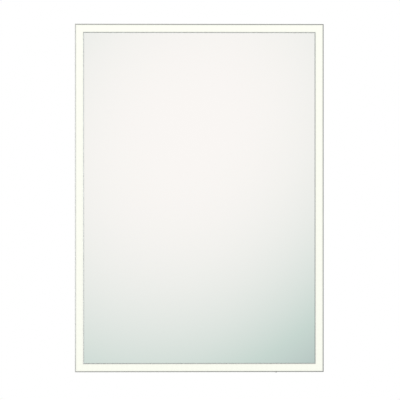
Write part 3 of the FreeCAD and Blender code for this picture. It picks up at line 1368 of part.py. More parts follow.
def lamp_lead():
    """From the driver to the left side's LED strip, through the hole in the lit channel's inner wall."""
    inside = driver_half - cell("driver_wall") - cell("lead_entry")
    entry = driver_middle - cell("lead_rise")
    wall_x = half_width - profile_width
    board_edge = half_width - channel_middle - cell("board_width") / 2
    lead("lamp_lead", [
        (-inside, lead_depth, entry),
        (-driver_half - 24, lead_depth, entry),
        (-driver_half - 50, lead_depth, lamp_lead_height),
        (-wall_x + 48, lead_depth, lamp_lead_height),
        (-wall_x + 18, lead_hole_depth, lamp_lead_height),
        (-board_edge - 1.5, lead_hole_depth, lamp_lead_height),
    ], cell("lamp_lead_radius"), cell("lead_bend"))


def earth_lead():
    """From the earth stud's nut to the terminal block's left pole."""
    radius = cell("earth_lead_radius")
    level = box_floor + cell("nut_height") + radius + 0.1
    top = block_z + cell("block_height") / 2
    pole = block_x - cell("block_pitch")
    above = (top - stud_z) + 5
    lead("earth_lead", [
        (stud_x + cell("small_screw_radius") + 0.3, level, stud_z),
        (stud_x + 9, level, stud_z),
        (stud_x + 14, block_middle, stud_z + above),
        (pole, block_middle, stud_z + above),
        (pole, block_middle, top + 0.2),
    ], radius, size(4))


def lead_clips():
    """Saddle clips that hold the switch lead on the rear panel."""
    x = lead_column_x.value
    depth = lead_depth.value
    radius = cell("mains_lead_radius").value
    half = radius + cell("clip_wall").value
    length = cell("clip_width").value
    back = panel_front.value
    sole = cell("clip_foot").value
    clips = []
    for drop in (cell("clip_drop_upper"), cell("clip_drop_lower")):
        low = (driver_middle - drop).value - length / 2
        block = Part.makeBox(2 * half, back - depth + half, length, Vector(x - half, depth - half, low))
        foot = Part.makeBox(4 * half, sole, length, Vector(x - 2 * half, back - sole, low))
        bore = Part.makeCylinder(radius + clearance.value, length + 2, Vector(x, depth, low - 1))
        clips.append(block.fuse(foot).cut(bore).removeSplitter())
    hang(group("lead_clips", clips))


def leads():
    """All leads inside the mirror, and the clips of the longest."""
    supply_lead()
    switch_lead()
    lamp_lead()
    earth_lead()
    lead_clips()


# ---------------------------------------------------------------- rocker switch
# Its own frame: the origin in the middle of the bezel's seat on the frame's underside, X along the switch,
# Y across it in the depth, and Z up into the frame. The rocker is stored tilted, because the light is on.
def fit_switch(thing, tilt=0.0, pivot_height=0):
    """Places a piece that is modelled in the switch's frame, tilted about a pivot at pivot_height."""
    pivot_height = size(pivot_height)
    thing.Placement = Placement(Vector(0, 0, 0), Rotation(Vector(0, 1, 0), tilt))
    sine, cosine = math.sin(math.radians(tilt)), math.cos(math.radians(tilt))
    bind(thing, "Placement.Base.x", switch_x - pivot_height * sine)
    bind(thing, "Placement.Base.y", chamber_middle - wall_plane)
    bind(thing, "Placement.Base.z", centre_rise - half_height + pivot_height * (1 - cosine))


rocker_window = cell("switch_length") - 2 * cell("switch_wall")
rocker_width = cell("switch_width") - 2 * cell("switch_wall") - 2 * cell("rocker_gap")
switch_floor = cell("switch_depth") - cell("switch_wall")
lever_pivot = cell("rocker_pivot_depth") + cell("plunger_reach") + cell("lever_gap") + cell("lever_thickness")


def switch_housing():
    """The moulded housing: bezel, body, the bores for the rocker's pins, and snap ears at both ends."""
    length, width = cell("switch_length"), cell("switch_width")
    wall = cell("switch_wall")
    body = prism("switch_housing", "Z", [centred(length, width)], 0, cell("switch_depth"))
    bezel = centred(cell("bezel_length"), cell("bezel_width"))
    add(body, "Z", [bezel], -cell("bezel_thickness"), 0)
    rim = edges_where(body, lambda p: abs(p.z + cell("bezel_thickness").value) < 1e-3)
    dress(body, "Chamfer", rim, cell("bezel_thickness") * 0.45)
    room = centred(rocker_window, width - 2 * wall)
    cut(body, "Z", [room], -cell("bezel_thickness") - 1, switch_floor)
    seat = cell("outer_wall") + cell("cutout_fit")
    for sign in (1, -1):
        inner, outer = sign * (length / 2 - wall / 2), sign * (length / 2 + cell("ear_height"))
        ear = [
            (inner, seat), (outer, seat), (outer, seat + cell("ear_lip")),
            (sign * length / 2, seat + cell("ear_length")), (inner, seat + cell("ear_length")),
        ]
        add(body, "Y", [ear], -cell("ear_length") / 2, cell("ear_length") / 2)
    bore = (0, cell("rocker_pivot_depth"), cell("pivot_radius") + cell("pivot_clearance"))
    cut(body, "Y", [bore], -width / 2 - 1, width / 2 + 1)
    slot_thickness = cell("tab_thickness") + 2 * cell("tab_fit")
    slot_width = cell("tab_width") + 2 * cell("tab_fit")
    slots = [centred(slot_thickness, slot_width, place, 0) for place in tab_places()]
    cut(body, "Z", slots, switch_floor - 1, cell("switch_depth") + 1)
    fit_switch(body)


def tab_places():
    """Where the switch's two terminal tabs are along it: the contact and the common one."""
    return [cell("tab_spacing"), size(0)]


def rocker():
    """The rocker: a shallow V on the outside, a stem inside, and a pivot pin on each side."""
    half = rocker_window / 2 - cell("rocker_gap")
    pivot = cell("rocker_pivot_depth")
    shoulder = pivot - cell("rocker_shoulder")
    lean = math.tan(math.radians(cell("rocker_angle").value))
    # The end faces and each half of the outer face lean in by the tilt, so that they clear the window.
    ends = pivot - cell("rocker_reach")
    outer_half = half - (shoulder - ends) * lean
    stem, stem_end = cell("stem_half_width"), pivot + cell("stem_reach")
    wide_stem = stem + cell("stem_root")
    root = pivot + cell("pivot_radius")
    inner_half, slope = half - cell("rocker_shoulder_width"), root - cell("rocker_shoulder_drop")
    section = [
        (-outer_half, ends), (0, ends + outer_half * lean), (outer_half, ends), (half, shoulder),
        (inner_half, slope), (wide_stem, root), (stem, stem_end), (-stem, stem_end), (-wide_stem, root),
        (-inner_half, slope), (-half, shoulder),
    ]
    body = prism("switch_rocker", "Y", [section], -rocker_width / 2, rocker_width / 2)
    ends_z = ends.value
    outer = edges_where(body, lambda p: abs(p.z - ends_z) < 1e-3)
    dress(body, "Fillet", outer, cell("rocker_edge"))
    pin = (0, pivot, cell("pivot_radius"))
    reach = cell("switch_width") / 2 - cell("pivot_end_gap")
    add(body, "Y", [pin], -reach, reach)
    well = (0, 0, cell("plunger_radius") + cell("plunger_fit"))
    cut(body, "Z", [well], pivot + cell("well_seat"), stem_end + 1)
    fit_switch(body, cell("rocker_angle").value, pivot)


def plunger():
    """The sprung pin in the rocker's stem that presses on the contact lever."""
    pivot = cell("rocker_pivot_depth")
    tip = pivot + cell("plunger_reach")
    radius = cell("plunger_radius")
    body = prism("switch_plunger", "Z", [(0, 0, radius)], pivot + cell("plunger_seat"), tip)
    end = edges_where(body, lambda p: abs(p.z - tip.value) < 1e-3)
    dress(body, "Fillet", end, radius * 0.8)
    fit_switch(body, cell("rocker_angle").value, pivot)


def plunger_spring():
    """The coil spring behind the plunger, in the rocker's stem."""
    pivot = cell("rocker_pivot_depth").value
    wire = cell("spring_wire").value
    gap = cell("spring_gap").value
    mean = cell("plunger_radius").value - wire - gap
    start = pivot + cell("well_seat").value + wire + gap
    height = cell("plunger_seat").value - cell("well_seat").value - 2 * (wire + gap)
    rise = height / count("spring_turns")
    helix = Part.makeHelix(rise, height, mean)
    along = Vector(0, 1, rise / (2 * math.pi * mean))
    section = Part.Wire([Part.Circle(Vector(mean, 0, 0), along, wire).toShape()])
    coil = Part.Wire(helix.Edges).makePipeShell([section], True, True)
    coil.translate(Vector(0, 0, start))
    spring = group("switch_spring", [coil])
    fit_switch(spring, cell("rocker_angle").value, cell("rocker_pivot_depth"))


def contact_lever():
    """The contact lever, whose knuckle see-saws in the common tab's saddle when the plunger passes over."""
    half = cell("lever_half_length")
    near = lever_pivot - cell("lever_thickness")
    edge = cell("lever_width") / 2
    section = rectangle(-half, half, near, lever_pivot)
    body = prism("switch_contact_lever", "Y", [section], -edge, edge)
    add(body, "Y", [(0, lever_pivot, cell("knuckle_radius"))], -edge, edge)
    contact = (half - cell("contact_inset"), 0, cell("contact_radius"))
    add(body, "Z", [contact], near, lever_pivot + cell("contact_height"))
    fit_switch(body, -cell("lever_angle").value, lever_pivot)


def terminal_tabs():
    """The common tab, which carries the lever, and the contact tab, which the lever meets."""
    contact_x, common_x = (place.value for place in tab_places())
    lever_top = lever_pivot.value
    rise = contact_x * math.sin(math.radians(cell("lever_angle").value))
    met = lever_top + rise + (cell("contact_height") + cell("contact_gap")).value
    end = (cell("switch_depth") + cell("tab_length")).value
    thickness, width = cell("tab_thickness").value, cell("tab_width").value
    hole_radius = cell("tab_hole_radius").value
    hole_height = end - cell("tab_hole_end").value
    tabs = []
    for x, start in ((common_x, lever_top + clearance.value), (contact_x, met)):
        blank = Part.makeBox(thickness, width, end - start, Vector(x - thickness / 2, -width / 2, start))
        hole = Part.makeCylinder(hole_radius, thickness + 2, Vector(x - thickness / 2 - 1, 0, hole_height),
                                 Vector(1, 0, 0))
        tabs.append(blank.cut(hole))
    saddle_radius = (cell("knuckle_radius") + cell("knuckle_fit")).value
    saddle = Part.makeCylinder(saddle_radius, width + 2, Vector(common_x, -width / 2 - 1, lever_top),
                               Vector(0, 1, 0))
    tabs[0] = tabs[0].cut(saddle)
    fit_switch(group("switch_terminal_tabs", tabs))


def switch():
    """All pieces of the rocker switch."""
    switch_housing()
    rocker()
    plunger()
    plunger_spring()
    contact_lever()
    terminal_tabs()


# ---------------------------------------------------------------- the whole mirror
def check_and_export():
    """Stops on any failed object or bad shape, and then writes each sub-part to its own file."""
    doc.recompute()
    for thing in doc.Objects:
        if "Invalid" in thing.State or "Error" in thing.State:
            raise RuntimeError(f"{thing.Label} failed: {thing.State}")
    for label, thing in parts.items():
        if thing.Shape.isNull() or not thing.Shape.isValid() or not thing.Shape.Solids:
            raise RuntimeError(f"{label} has no valid solid")
    os.makedirs("parts", exist_ok=True)
    for label, thing in parts.items():
        thing.Shape.exportStep(f"parts/{label}.step")


frame()
corner_keys()
lit_channel()
mirror_pane()
rear_panel()
panel_screws()
wall_rail()
hook()
spacers()
terminal_box()
cord_clamp()
inlet_grommet()
outlet_grommet()
terminal_block()
earth_stud()
driver()
leads()
switch()
check_and_export()
print(f"{len(parts)} sub-parts")
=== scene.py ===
"""The lighted bathroom mirror, dressed: every surface's finish, the rocker's marks, lamps, floor and camera.

Metres throughout, in the part's own frame: +X to the right and +Z up for a person who looks into the mirror,
+Y towards the wall. Colours are linear, and so are the levels of lamps and of the world, where 1 is white.
"""
import json
import math

import bmesh
import bpy
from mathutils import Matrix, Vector


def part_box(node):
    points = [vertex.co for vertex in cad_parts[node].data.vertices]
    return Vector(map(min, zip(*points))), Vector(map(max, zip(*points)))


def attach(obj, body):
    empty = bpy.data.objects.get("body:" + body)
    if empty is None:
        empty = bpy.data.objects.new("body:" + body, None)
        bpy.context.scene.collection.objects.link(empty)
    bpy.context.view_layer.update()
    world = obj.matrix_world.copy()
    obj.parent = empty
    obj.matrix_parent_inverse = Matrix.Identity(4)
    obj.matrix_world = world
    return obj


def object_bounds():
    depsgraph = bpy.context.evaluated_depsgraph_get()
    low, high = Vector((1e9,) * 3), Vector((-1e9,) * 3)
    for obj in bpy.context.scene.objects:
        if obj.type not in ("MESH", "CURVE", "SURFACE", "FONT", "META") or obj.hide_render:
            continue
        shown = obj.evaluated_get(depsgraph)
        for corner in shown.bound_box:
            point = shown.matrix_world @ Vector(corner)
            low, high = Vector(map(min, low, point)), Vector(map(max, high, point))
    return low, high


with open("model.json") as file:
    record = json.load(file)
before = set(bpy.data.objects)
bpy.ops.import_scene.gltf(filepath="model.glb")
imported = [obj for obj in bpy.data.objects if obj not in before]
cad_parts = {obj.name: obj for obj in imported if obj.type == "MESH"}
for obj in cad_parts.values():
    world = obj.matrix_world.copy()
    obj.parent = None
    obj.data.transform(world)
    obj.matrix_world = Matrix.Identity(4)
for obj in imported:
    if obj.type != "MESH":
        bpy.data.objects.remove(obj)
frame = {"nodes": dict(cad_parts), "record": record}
cad_box = [list(corner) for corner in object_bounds()]
nodes = frame["nodes"]

# ---------------------------------------------------------------- what the whole scene is placed by
LOW, HIGH = (Vector(corner) for corner in cad_box)
PANE_LOW, PANE_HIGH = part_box("mirror_glass")
FRONT = LOW.y
MIRROR_CENTRE = Vector((0.0, FRONT, (PANE_LOW.z + PANE_HIGH.z) / 2))
SIDES = ("top", "right", "bottom", "left")
UPRIGHT_SIDES = ("right", "left")


# ---------------------------------------------------------------- small helpers for shader nodes
class ShaderNodes:
    """The nodes of one material, world or lamp, made by kind, with inputs set or linked by name or number."""

    def __init__(self, owner):
        owner.use_nodes = True
        self.owner = owner
        self.tree = owner.node_tree
        self.tree.nodes.clear()

    def make(self, kind, inputs=None, **settings):
        """A node of that kind, with those inputs and settings."""
        node = self.tree.nodes.new(kind)
        for name, value in settings.items():
            setattr(node, name, value)
        for name, value in (inputs or {}).items():
            self.plug(node.inputs[name], value)
        return node

    def plug(self, socket, value):
        """Links an output to the socket, or sets the socket to a plain value."""
        if isinstance(value, bpy.types.NodeSocket):
            self.tree.links.new(value, socket)
        elif socket.type == "RGBA":
            socket.default_value = (*value, 1.0)
        else:
            socket.default_value = value

    def math(self, operation, a, b=0.0):
        return self.make("ShaderNodeMath", {0: a, 1: b}, operation=operation).outputs[0]

    def spread(self, value, low, high, to_low=0.0, to_high=1.0, smooth=True):
        """Maps value from low..high to to_low..to_high, held at both ends."""
        kind = "SMOOTHSTEP" if smooth else "LINEAR"
        ports = {0: value, 1: low, 2: high, 3: to_low, 4: to_high}
        return self.make("ShaderNodeMapRange", ports, interpolation_type=kind).outputs[0]

    def blend(self, factor, first, second):
        """The colour first where factor is 0, and second where it is 1."""
        mix = self.make("ShaderNodeMix", data_type="RGBA")
        self.plug(mix.inputs["Factor"], factor)
        self.plug(mix.inputs[6], first)
        self.plug(mix.inputs[7], second)
        return mix.outputs[2]

    def axes(self, vector):
        """The vector's X, Y and Z, by those names."""
        return self.make("ShaderNodeSeparateXYZ", {0: vector}).outputs

    def geometry(self, what):
        return self.make("ShaderNodeNewGeometry").outputs[what]

    def place(self, stretch=None):
        """The point on the object, in metres. Patterns get longer along an axis whose stretch is under 1."""
        point = self.make("ShaderNodeTexCoord").outputs["Object"]
        if stretch is None:
            return point
        return self.make("ShaderNodeMapping", {"Vector": point, "Scale": stretch}).outputs[0]

    def noise(self, grain, detail=3.0, stretch=None, roughness=0.5):
        """Soft noise from 0 to 1 whose blobs are about grain metres wide."""
        ports = {"Vector": self.place(stretch), "Scale": 1 / grain, "Detail": detail, "Roughness": roughness}
        return self.make("ShaderNodeTexNoise", ports).outputs["Fac"]

    def bump(self, height, depth):
        """A normal bent by height, from 0 to 1, as if it were depth metres deep."""
        return self.make("ShaderNodeBump", {"Height": height, "Distance": depth, "Strength": 1.0}).outputs[0]

    def texture(self, grain, depth, detail=3.0):
        """A normal bent by noise of that grain and depth."""
        return self.bump(self.noise(grain, detail), depth)

    def principled(self, ports):
        """Ends a material in one Principled shader with those inputs, and gives the material."""
        shader = self.make("ShaderNodeBsdfPrincipled", ports)
        self.make("ShaderNodeOutputMaterial", {"Surface": shader.outputs[0]})
        return self.owner


def material_nodes(name):
    """The nodes of a new material, none yet."""
    return ShaderNodes(bpy.data.materials.new(name))


def grey(level):
    return (level, level, level)


def scaled(colour, factor):
    return tuple(channel * factor for channel in colour)


# The part of a noise's 0 to 1 that a change is spread over: most of it, its middle half or a crisper band.
WIDE = (0.2, 0.8)
HALF = (0.25, 0.75)
CRISP = (0.3, 0.7)


# ---------------------------------------------------------------- moulded, painted and plain metal finishes
METAL = {"Metallic": 1.0}
BLACKENED = {"Metallic": 0.6}
PLASTIC = {"IOR": 1.49}
DULL = {}

# By material slot: the two colours, the blobs' grain, the lowest and highest roughness, the texture's grain
# and depth, and the shader's own values. The last one is the rocker's print, too thin for a texture.
PLAIN_FINISHES = {
    "cast_alloy": ((0.50, 0.50, 0.49), (0.60, 0.60, 0.585), 0.006, (0.42, 0.62), (0.0006, 0.00008), METAL),
    "zinc_screw": ((0.66, 0.67, 0.69), (0.55, 0.57, 0.60), 0.002, (0.24, 0.40), (0.0003, 0.00001), METAL),
    "spring_steel": ((0.52, 0.53, 0.55), (0.44, 0.45, 0.47), 0.001, (0.24, 0.38), (0.0003, 0.00001), METAL),
    "brass": ((0.76, 0.58, 0.26), (0.64, 0.47, 0.20), 0.003, (0.24, 0.42), (0.0003, 0.00001), METAL),
    "rivet_aluminium": (
        (0.66, 0.665, 0.67), (0.58, 0.585, 0.59), 0.003, (0.28, 0.42), (0.0005, 0.00001), METAL),
    "black_screw": (
        (0.030, 0.030, 0.032), (0.055, 0.053, 0.050), 0.002, (0.30, 0.48), (0.0003, 0.00001), BLACKENED),
    "led_package": ((0.86, 0.72, 0.22), (0.92, 0.80, 0.34), 0.002, (0.25, 0.40), (0.0002, 0.00001), PLASTIC),
    "strip_board": ((0.80, 0.80, 0.77), (0.72, 0.73, 0.69), 0.004, (0.35, 0.50), (0.0004, 0.00001), PLASTIC),
    "circuit_parts": (
        (0.10, 0.10, 0.11), (0.17, 0.16, 0.14), 0.008, (0.35, 0.55), (0.0004, 0.00002), PLASTIC),
    "white_sheath": ((0.78, 0.78, 0.75), (0.70, 0.70, 0.67), 0.012, (0.38, 0.52), (0.0006, 0.00001), PLASTIC),
    "backing_paint": (
        (0.295, 0.33, 0.34), (0.27, 0.305, 0.32), 0.03, (0.42, 0.58), (0.0007, 0.00003), PLASTIC),
    "white_moulding": (
        (0.76, 0.765, 0.75), (0.70, 0.705, 0.69), 0.020, (0.40, 0.54), (0.0005, 0.00002), PLASTIC),
    "grey_moulding": (
        (0.34, 0.345, 0.35), (0.29, 0.295, 0.30), 0.010, (0.45, 0.60), (0.0005, 0.00003), PLASTIC),
    "black_moulding": (
        (0.028, 0.028, 0.030), (0.040, 0.040, 0.041), 0.006, (0.42, 0.56), (0.0004, 0.00003), PLASTIC),
    "black_rocker": (
        (0.020, 0.020, 0.022), (0.032, 0.032, 0.033), 0.005, (0.24, 0.36), (0.0004, 0.00001), PLASTIC),
    "natural_nylon": (
        (0.74, 0.72, 0.64), (0.66, 0.64, 0.55), 0.006, (0.38, 0.52), (0.0004, 0.00002), PLASTIC),
    "foam_tape": ((0.60, 0.60, 0.585), (0.50, 0.50, 0.49), 0.0012, (0.85, 0.96), (0.0005, 0.00012), DULL),
    "black_rubber": (
        (0.022, 0.022, 0.023), (0.038, 0.037, 0.036), 0.006, (0.62, 0.80), (0.0004, 0.00003), DULL),
    "white_print": ((0.80, 0.80, 0.78), (0.74, 0.74, 0.72), 0.001, (0.45, 0.60), None, DULL),
}

# The grain of the uneven gloss, as a share of the colour blobs'.
WORN_GRAIN = 0.31


def plain_finish(name, first, second, grain, roughness, texture, sockets):
    """Two near colours in soft blobs, an uneven gloss in finer ones, and a fine texture."""
    n = material_nodes(name)
    blobs = n.noise(grain, detail=4.0)
    worn = n.noise(grain * WORN_GRAIN, detail=5.0)
    ports = {
        "Base Color": n.blend(n.spread(blobs, *CRISP), first, second),
        "Roughness": n.spread(worn, *HALF, *roughness),
        **sockets,
    }
    if texture:
        ports["Normal"] = n.texture(*texture)
    return n.principled(ports)


# ---------------------------------------------------------------- the four frame profiles
ALUMINIUM_LIGHT = (0.545, 0.55, 0.535)
ALUMINIUM_DARK = (0.495, 0.50, 0.485)
ALUMINIUM_WARM = (0.525, 0.52, 0.495)
ALUMINIUM_ROUGHNESS = (0.34, 0.44)
# Painted highlight: the paler colour the inner lip's front is painted in, lighter than the rest of the same
# aluminium.
INNER_LIP_PAINTED_HIGHLIGHT = (0.74, 0.745, 0.73)
CLOUD_GRAIN = 0.09
CLOUDY = (0.35, 0.7)
CLOUD_SHARE = 0.35

# The brush's lines are 50 times as long as they are wide, and the streaks among them are half as deep.
BRUSHED_STRETCH = 1 / 50
LINE_GRAIN = 0.00012
STREAK_GRAIN = 0.0005
STREAK_HARSHNESS = 0.65
STREAK_SHARE = 0.5
BRUSHED_DEPTH = 0.0000012

# The inner lip's front: this far in from the frame's outline, and this far back from its front.
INNER_LIP_START = 0.0155
INNER_LIP_DEPTH = 0.001


def brushed_aluminium(name, side):
    """Clear anodised aluminium, drawn and brushed along the profile, with a painted highlight on the inner
    lip's front, which is painted paler than the rest.
    """
    lengthwise = "Z" if side in UPRIGHT_SIDES else "X"
    stretch = tuple(BRUSHED_STRETCH if axis == lengthwise else 1.0 for axis in "XYZ")
    n = material_nodes(name)
    lines = n.noise(LINE_GRAIN, detail=2.0, stretch=stretch)
    streaks = n.noise(STREAK_GRAIN, detail=4.0, stretch=stretch, roughness=STREAK_HARSHNESS)
    cloud = n.noise(CLOUD_GRAIN)
    tone = n.blend(n.spread(streaks, *HALF), ALUMINIUM_DARK, ALUMINIUM_LIGHT)
    tone = n.blend(n.spread(cloud, *CLOUDY, 0.0, CLOUD_SHARE), tone, ALUMINIUM_WARM)
    return n.principled({
        # The inner lip's front is painted paler here: a painted highlight, not a different finish.
        "Base Color": n.blend(inner_lip(n, side), tone, INNER_LIP_PAINTED_HIGHLIGHT),
        "Roughness": n.spread(streaks, *WIDE, *ALUMINIUM_ROUGHNESS),
        "Metallic": 1.0,
        "Normal": n.bump(n.math("ADD", lines, n.math("MULTIPLY", streaks, STREAK_SHARE)), BRUSHED_DEPTH),
    })


def inner_lip(n, side):
    """1 on that profile's front inside the lit band, where the painted highlight goes, and 0 on the rest of
    it.
    """
    place = n.axes(n.place())
    if side in UPRIGHT_SIDES:
        off_centre, half = place["X"], HIGH.x
    else:
        off_centre, half = n.math("SUBTRACT", place["Z"], MIRROR_CENTRE.z), HIGH.z - MIRROR_CENTRE.z
    inside = n.math("LESS_THAN", n.math("ABSOLUTE", off_centre), half - INNER_LIP_START)
    front = n.math("LESS_THAN", place["Y"], FRONT + INNER_LIP_DEPTH)
    return n.math("MULTIPLY", inside, front)


# ---------------------------------------------------------------- the four opal covers
CHANNEL_WIDTH = 0.0142
CHIP_PITCH = 0.010
OPAL_BASE = (0.20, 0.20, 0.19)
OPAL_DUSTY = scaled(OPAL_BASE, 0.97)
OPAL_ROUGHNESS = (0.42, 0.5)
OPAL_DUST_GRAIN = 0.01
OPAL_WEAR_GRAIN = 0.0006
OPAL_TEXTURE = (0.0004, 0.000006)

# The glow over the channel's middle, and what edges, chips and haze make of it. OPAL_PEAK is a little more
# than its brightest spot, so that the blend to the glow's colour never clips it.
OPAL_GLOW = (0.792, 0.803, 0.718)
OPAL_EDGE_GLOW = 0.94
OPAL_CHIP_GLOW = 0.008
OPAL_HAZE_GRAIN = 0.004
OPAL_HAZE = (0.99, 1.01)
OPAL_PEAK = 1.02


def lit_opal(name, side):
    """Opal acrylic, lit from behind by a row of chips: brightest over the channel's middle."""
    low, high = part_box(f"opal_cover_{side}")
    if side in UPRIGHT_SIDES:
        across, along, middle = "X", "Z", (low.x + high.x) / 2
    else:
        across, along, middle = "Z", "X", (low.z + high.z) / 2
    n = material_nodes(name)
    place = n.axes(n.place())
    off_centre = n.math("ABSOLUTE", n.math("SUBTRACT", place[across], middle))
    edge = n.spread(off_centre, CHANNEL_WIDTH / 4, CHANNEL_WIDTH / 2, 1.0, OPAL_EDGE_GLOW)
    ripple = n.math("COSINE", n.math("MULTIPLY", place[along], math.tau / CHIP_PITCH))
    chips = n.math("ADD", 1.0, n.math("MULTIPLY", ripple, OPAL_CHIP_GLOW))
    haze = n.spread(n.noise(OPAL_HAZE_GRAIN, detail=2.0), *WIDE, *OPAL_HAZE)
    glow = n.math("MULTIPLY", n.math("MULTIPLY", edge, chips), haze)
    share = n.math("DIVIDE", glow, OPAL_PEAK)
    return n.principled({
        "Base Color": n.blend(n.noise(OPAL_DUST_GRAIN), OPAL_BASE, OPAL_DUSTY),
        "Roughness": n.spread(n.noise(OPAL_WEAR_GRAIN), *WIDE, *OPAL_ROUGHNESS),
        "Normal": n.texture(*OPAL_TEXTURE, detail=2.0),
        "Emission Color": n.blend(share, grey(0.0), scaled(OPAL_GLOW, OPAL_PEAK)),
        "Emission Strength": 1.0,
    })


# ---------------------------------------------------------------- the mirror pane
MIRROR_TINT = (0.94, 0.955, 0.945)
GLASS_EDGE = (0.72, 0.80, 0.76)

# From the arris to the flat face, by how much the surface faces along Y.
ARRIS_TO_FACE = (0.85, 0.97)
GROUND_ROUGHNESS = 0.22
GROUND_GRAIN = 0.0003
GROUND_DEPTH = 0.00001
WIPE_GRAIN = 0.05
WIPE_STRETCH = (1.0, 1.0, 0.35)
WIPED = (0.45, 0.8)
WIPED_ROUGHNESS = (0.008, 0.028)


def mirror_silver(name):
    """Silvered float glass: a clear reflection, faintly green, with a ground arris of bare glass round it."""
    n = material_nodes(name)
    facing = n.math("ABSOLUTE", n.axes(n.geometry("True Normal"))["Y"])
    arris = n.spread(facing, *ARRIS_TO_FACE, 1.0, 0.0, smooth=False)
    wiped = n.noise(WIPE_GRAIN, detail=5.0, stretch=WIPE_STRETCH)
    ground = n.math("MULTIPLY", n.noise(GROUND_GRAIN, detail=2.0), arris)
    streaky = n.spread(wiped, *WIPED, *WIPED_ROUGHNESS)
    return n.principled({
        "Base Color": n.blend(arris, MIRROR_TINT, GLASS_EDGE),
        "Roughness": n.math("ADD", streaky, n.math("MULTIPLY", arris, GROUND_ROUGHNESS)),
        "Metallic": n.math("SUBTRACT", 1.0, arris),
        "Normal": n.bump(ground, GROUND_DEPTH),
    })


# ---------------------------------------------------------------- galvanised sheet
ZINC_DARK = (0.53, 0.545, 0.555)
ZINC_LIGHT = (0.68, 0.69, 0.695)
ZINC_FERN = (0.58, 0.60, 0.61)
ZINC_ROUGHNESS = (0.30, 0.48)
ZINC_DEPTH = 0.000012
LIGHTEST_CRYSTAL = 0.8

# The crystals' width, and how far and how finely their edges swerve.
SPANGLE = 0.009
SWERVE = 0.006
SWERVE_NOISE = {"Scale": 60.0, "Detail": 2.0}

# The fern lines in them.
FERN_GRAIN = 0.0016
FERN_STRETCH = (1.0, 1.0, 0.3)
FERN_SHARE = 0.3


def galvanised_steel(name):
    """Hot-dip galvanised sheet: flat crystals, each with its own tone and gloss, and fern lines in them."""
    n = material_nodes(name)
    swerve = n.make("ShaderNodeTexNoise", {"Vector": n.place(), **SWERVE_NOISE}).outputs["Color"]
    aside = n.make("ShaderNodeVectorMath", {0: swerve, 1: grey(SWERVE)}, operation="MULTIPLY").outputs[0]
    spot = n.make("ShaderNodeVectorMath", {0: n.place(), 1: aside}, operation="ADD").outputs[0]
    crystal = n.make("ShaderNodeTexVoronoi", {"Vector": spot, "Scale": 1 / SPANGLE}).outputs["Color"]
    tone, gloss, tilt = n.make("ShaderNodeSeparateColor", {0: crystal}).outputs
    fern = n.noise(FERN_GRAIN, stretch=FERN_STRETCH)
    colour = n.blend(n.math("MULTIPLY", tone, LIGHTEST_CRYSTAL), ZINC_DARK, ZINC_LIGHT)
    return n.principled({
        "Base Color": n.blend(n.spread(fern, *CRISP, 0.0, FERN_SHARE), colour, ZINC_FERN),
        "Roughness": n.spread(gloss, 0.0, 1.0, *ZINC_ROUGHNESS, smooth=False),
        "Metallic": 1.0,
        "Normal": n.bump(n.math("ADD", tilt, fern), ZINC_DEPTH),
    })


# ---------------------------------------------------------------- the earth lead's sheath
SHEATH_GREEN = (0.04, 0.30, 0.07)
SHEATH_YELLOW = (0.80, 0.66, 0.05)
SHEATH_ROUGHNESS = (0.38, 0.5)
SHEATH_WEAR_GRAIN = 0.003
SHEATH_TEXTURE = (0.0005, 0.00001)
STRIPES = {"Scale": 260.0, "Distortion": 1.2}
STRIPE_EDGE = (0.45, 0.55)


def earth_sheath(name):
    """Green and yellow sheath, in stripes along the lead."""
    n = material_nodes(name)
    wave = n.make("ShaderNodeTexWave", {"Vector": n.place(), **STRIPES}, bands_direction="Y").outputs["Fac"]
    return n.principled({
        "Base Color": n.blend(n.spread(wave, *STRIPE_EDGE), SHEATH_GREEN, SHEATH_YELLOW),
        "Roughness": n.spread(n.noise(SHEATH_WEAR_GRAIN), *WIDE, *SHEATH_ROUGHNESS),
        "Normal": n.texture(*SHEATH_TEXTURE),
    })


# ---------------------------------------------------------------- the driver's circuit board
BARE_MASK = (0.012, 0.13, 0.045)
MASK_ON_COPPER = (0.02, 0.20, 0.07)
TINNED_PAD = (0.62, 0.62, 0.60)
BOARD_ROUGHNESS = (0.25, 0.4)
BOARD_WEAR_GRAIN = 0.004
COPPER_DEPTH = 0.00003

# Tracks run between the cells of a pattern and pads sit at their middles, from these distances on.
CELL_SCALE = 190.0
TRACK_EDGE = (0.30, 0.34)
PAD_EDGE = (0.07, 0.05)


def circuit_board(name):
    """Green solder mask over copper tracks, with tinned pads."""
    n = material_nodes(name)
    cell = n.make("ShaderNodeTexVoronoi", {"Vector": n.place(), "Scale": CELL_SCALE}, distance="CHEBYCHEV")
    copper = n.spread(cell.outputs["Distance"], *TRACK_EDGE)
    pads = n.spread(cell.outputs["Distance"], *PAD_EDGE)
    return n.principled({
        "Base Color": n.blend(pads, n.blend(copper, BARE_MASK, MASK_ON_COPPER), TINNED_PAD),
        "Roughness": n.spread(n.noise(BOARD_WEAR_GRAIN), *WIDE, *BOARD_ROUGHNESS),
        "Metallic": pads,
        "Normal": n.bump(copper, COPPER_DEPTH),
    })


# ---------------------------------------------------------------- every CAD node gets its finish
SPECIAL_FINISHES = {
    "mirror_silver": mirror_silver,
    "galvanised_steel": galvanised_steel,
    "earth_sheath": earth_sheath,
    "circuit_board": circuit_board,
}


def make_finishes():
    """Materials by the name of their slot or, where each side of the mirror has its own, of their node."""
    finishes = {slot: plain_finish(slot, *values) for slot, values in PLAIN_FINISHES.items()}
    for slot, make in SPECIAL_FINISHES.items():
        finishes[slot] = make(slot)
    for side in SIDES:
        finishes[f"frame_{side}_profile"] = brushed_aluminium(f"anodised_aluminium_{side}", side)
        finishes[f"opal_cover_{side}"] = lit_opal(f"opal_acrylic_{side}", side)
    return finishes


def dress_nodes(finishes):
    """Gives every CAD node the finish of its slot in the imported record."""
    for part in frame["record"]["subparts"]:
        materials = nodes[part["node"]].data.materials
        materials.clear()
        materials.append(finishes.get(part["node"]) or finishes[part["material_slot"]])


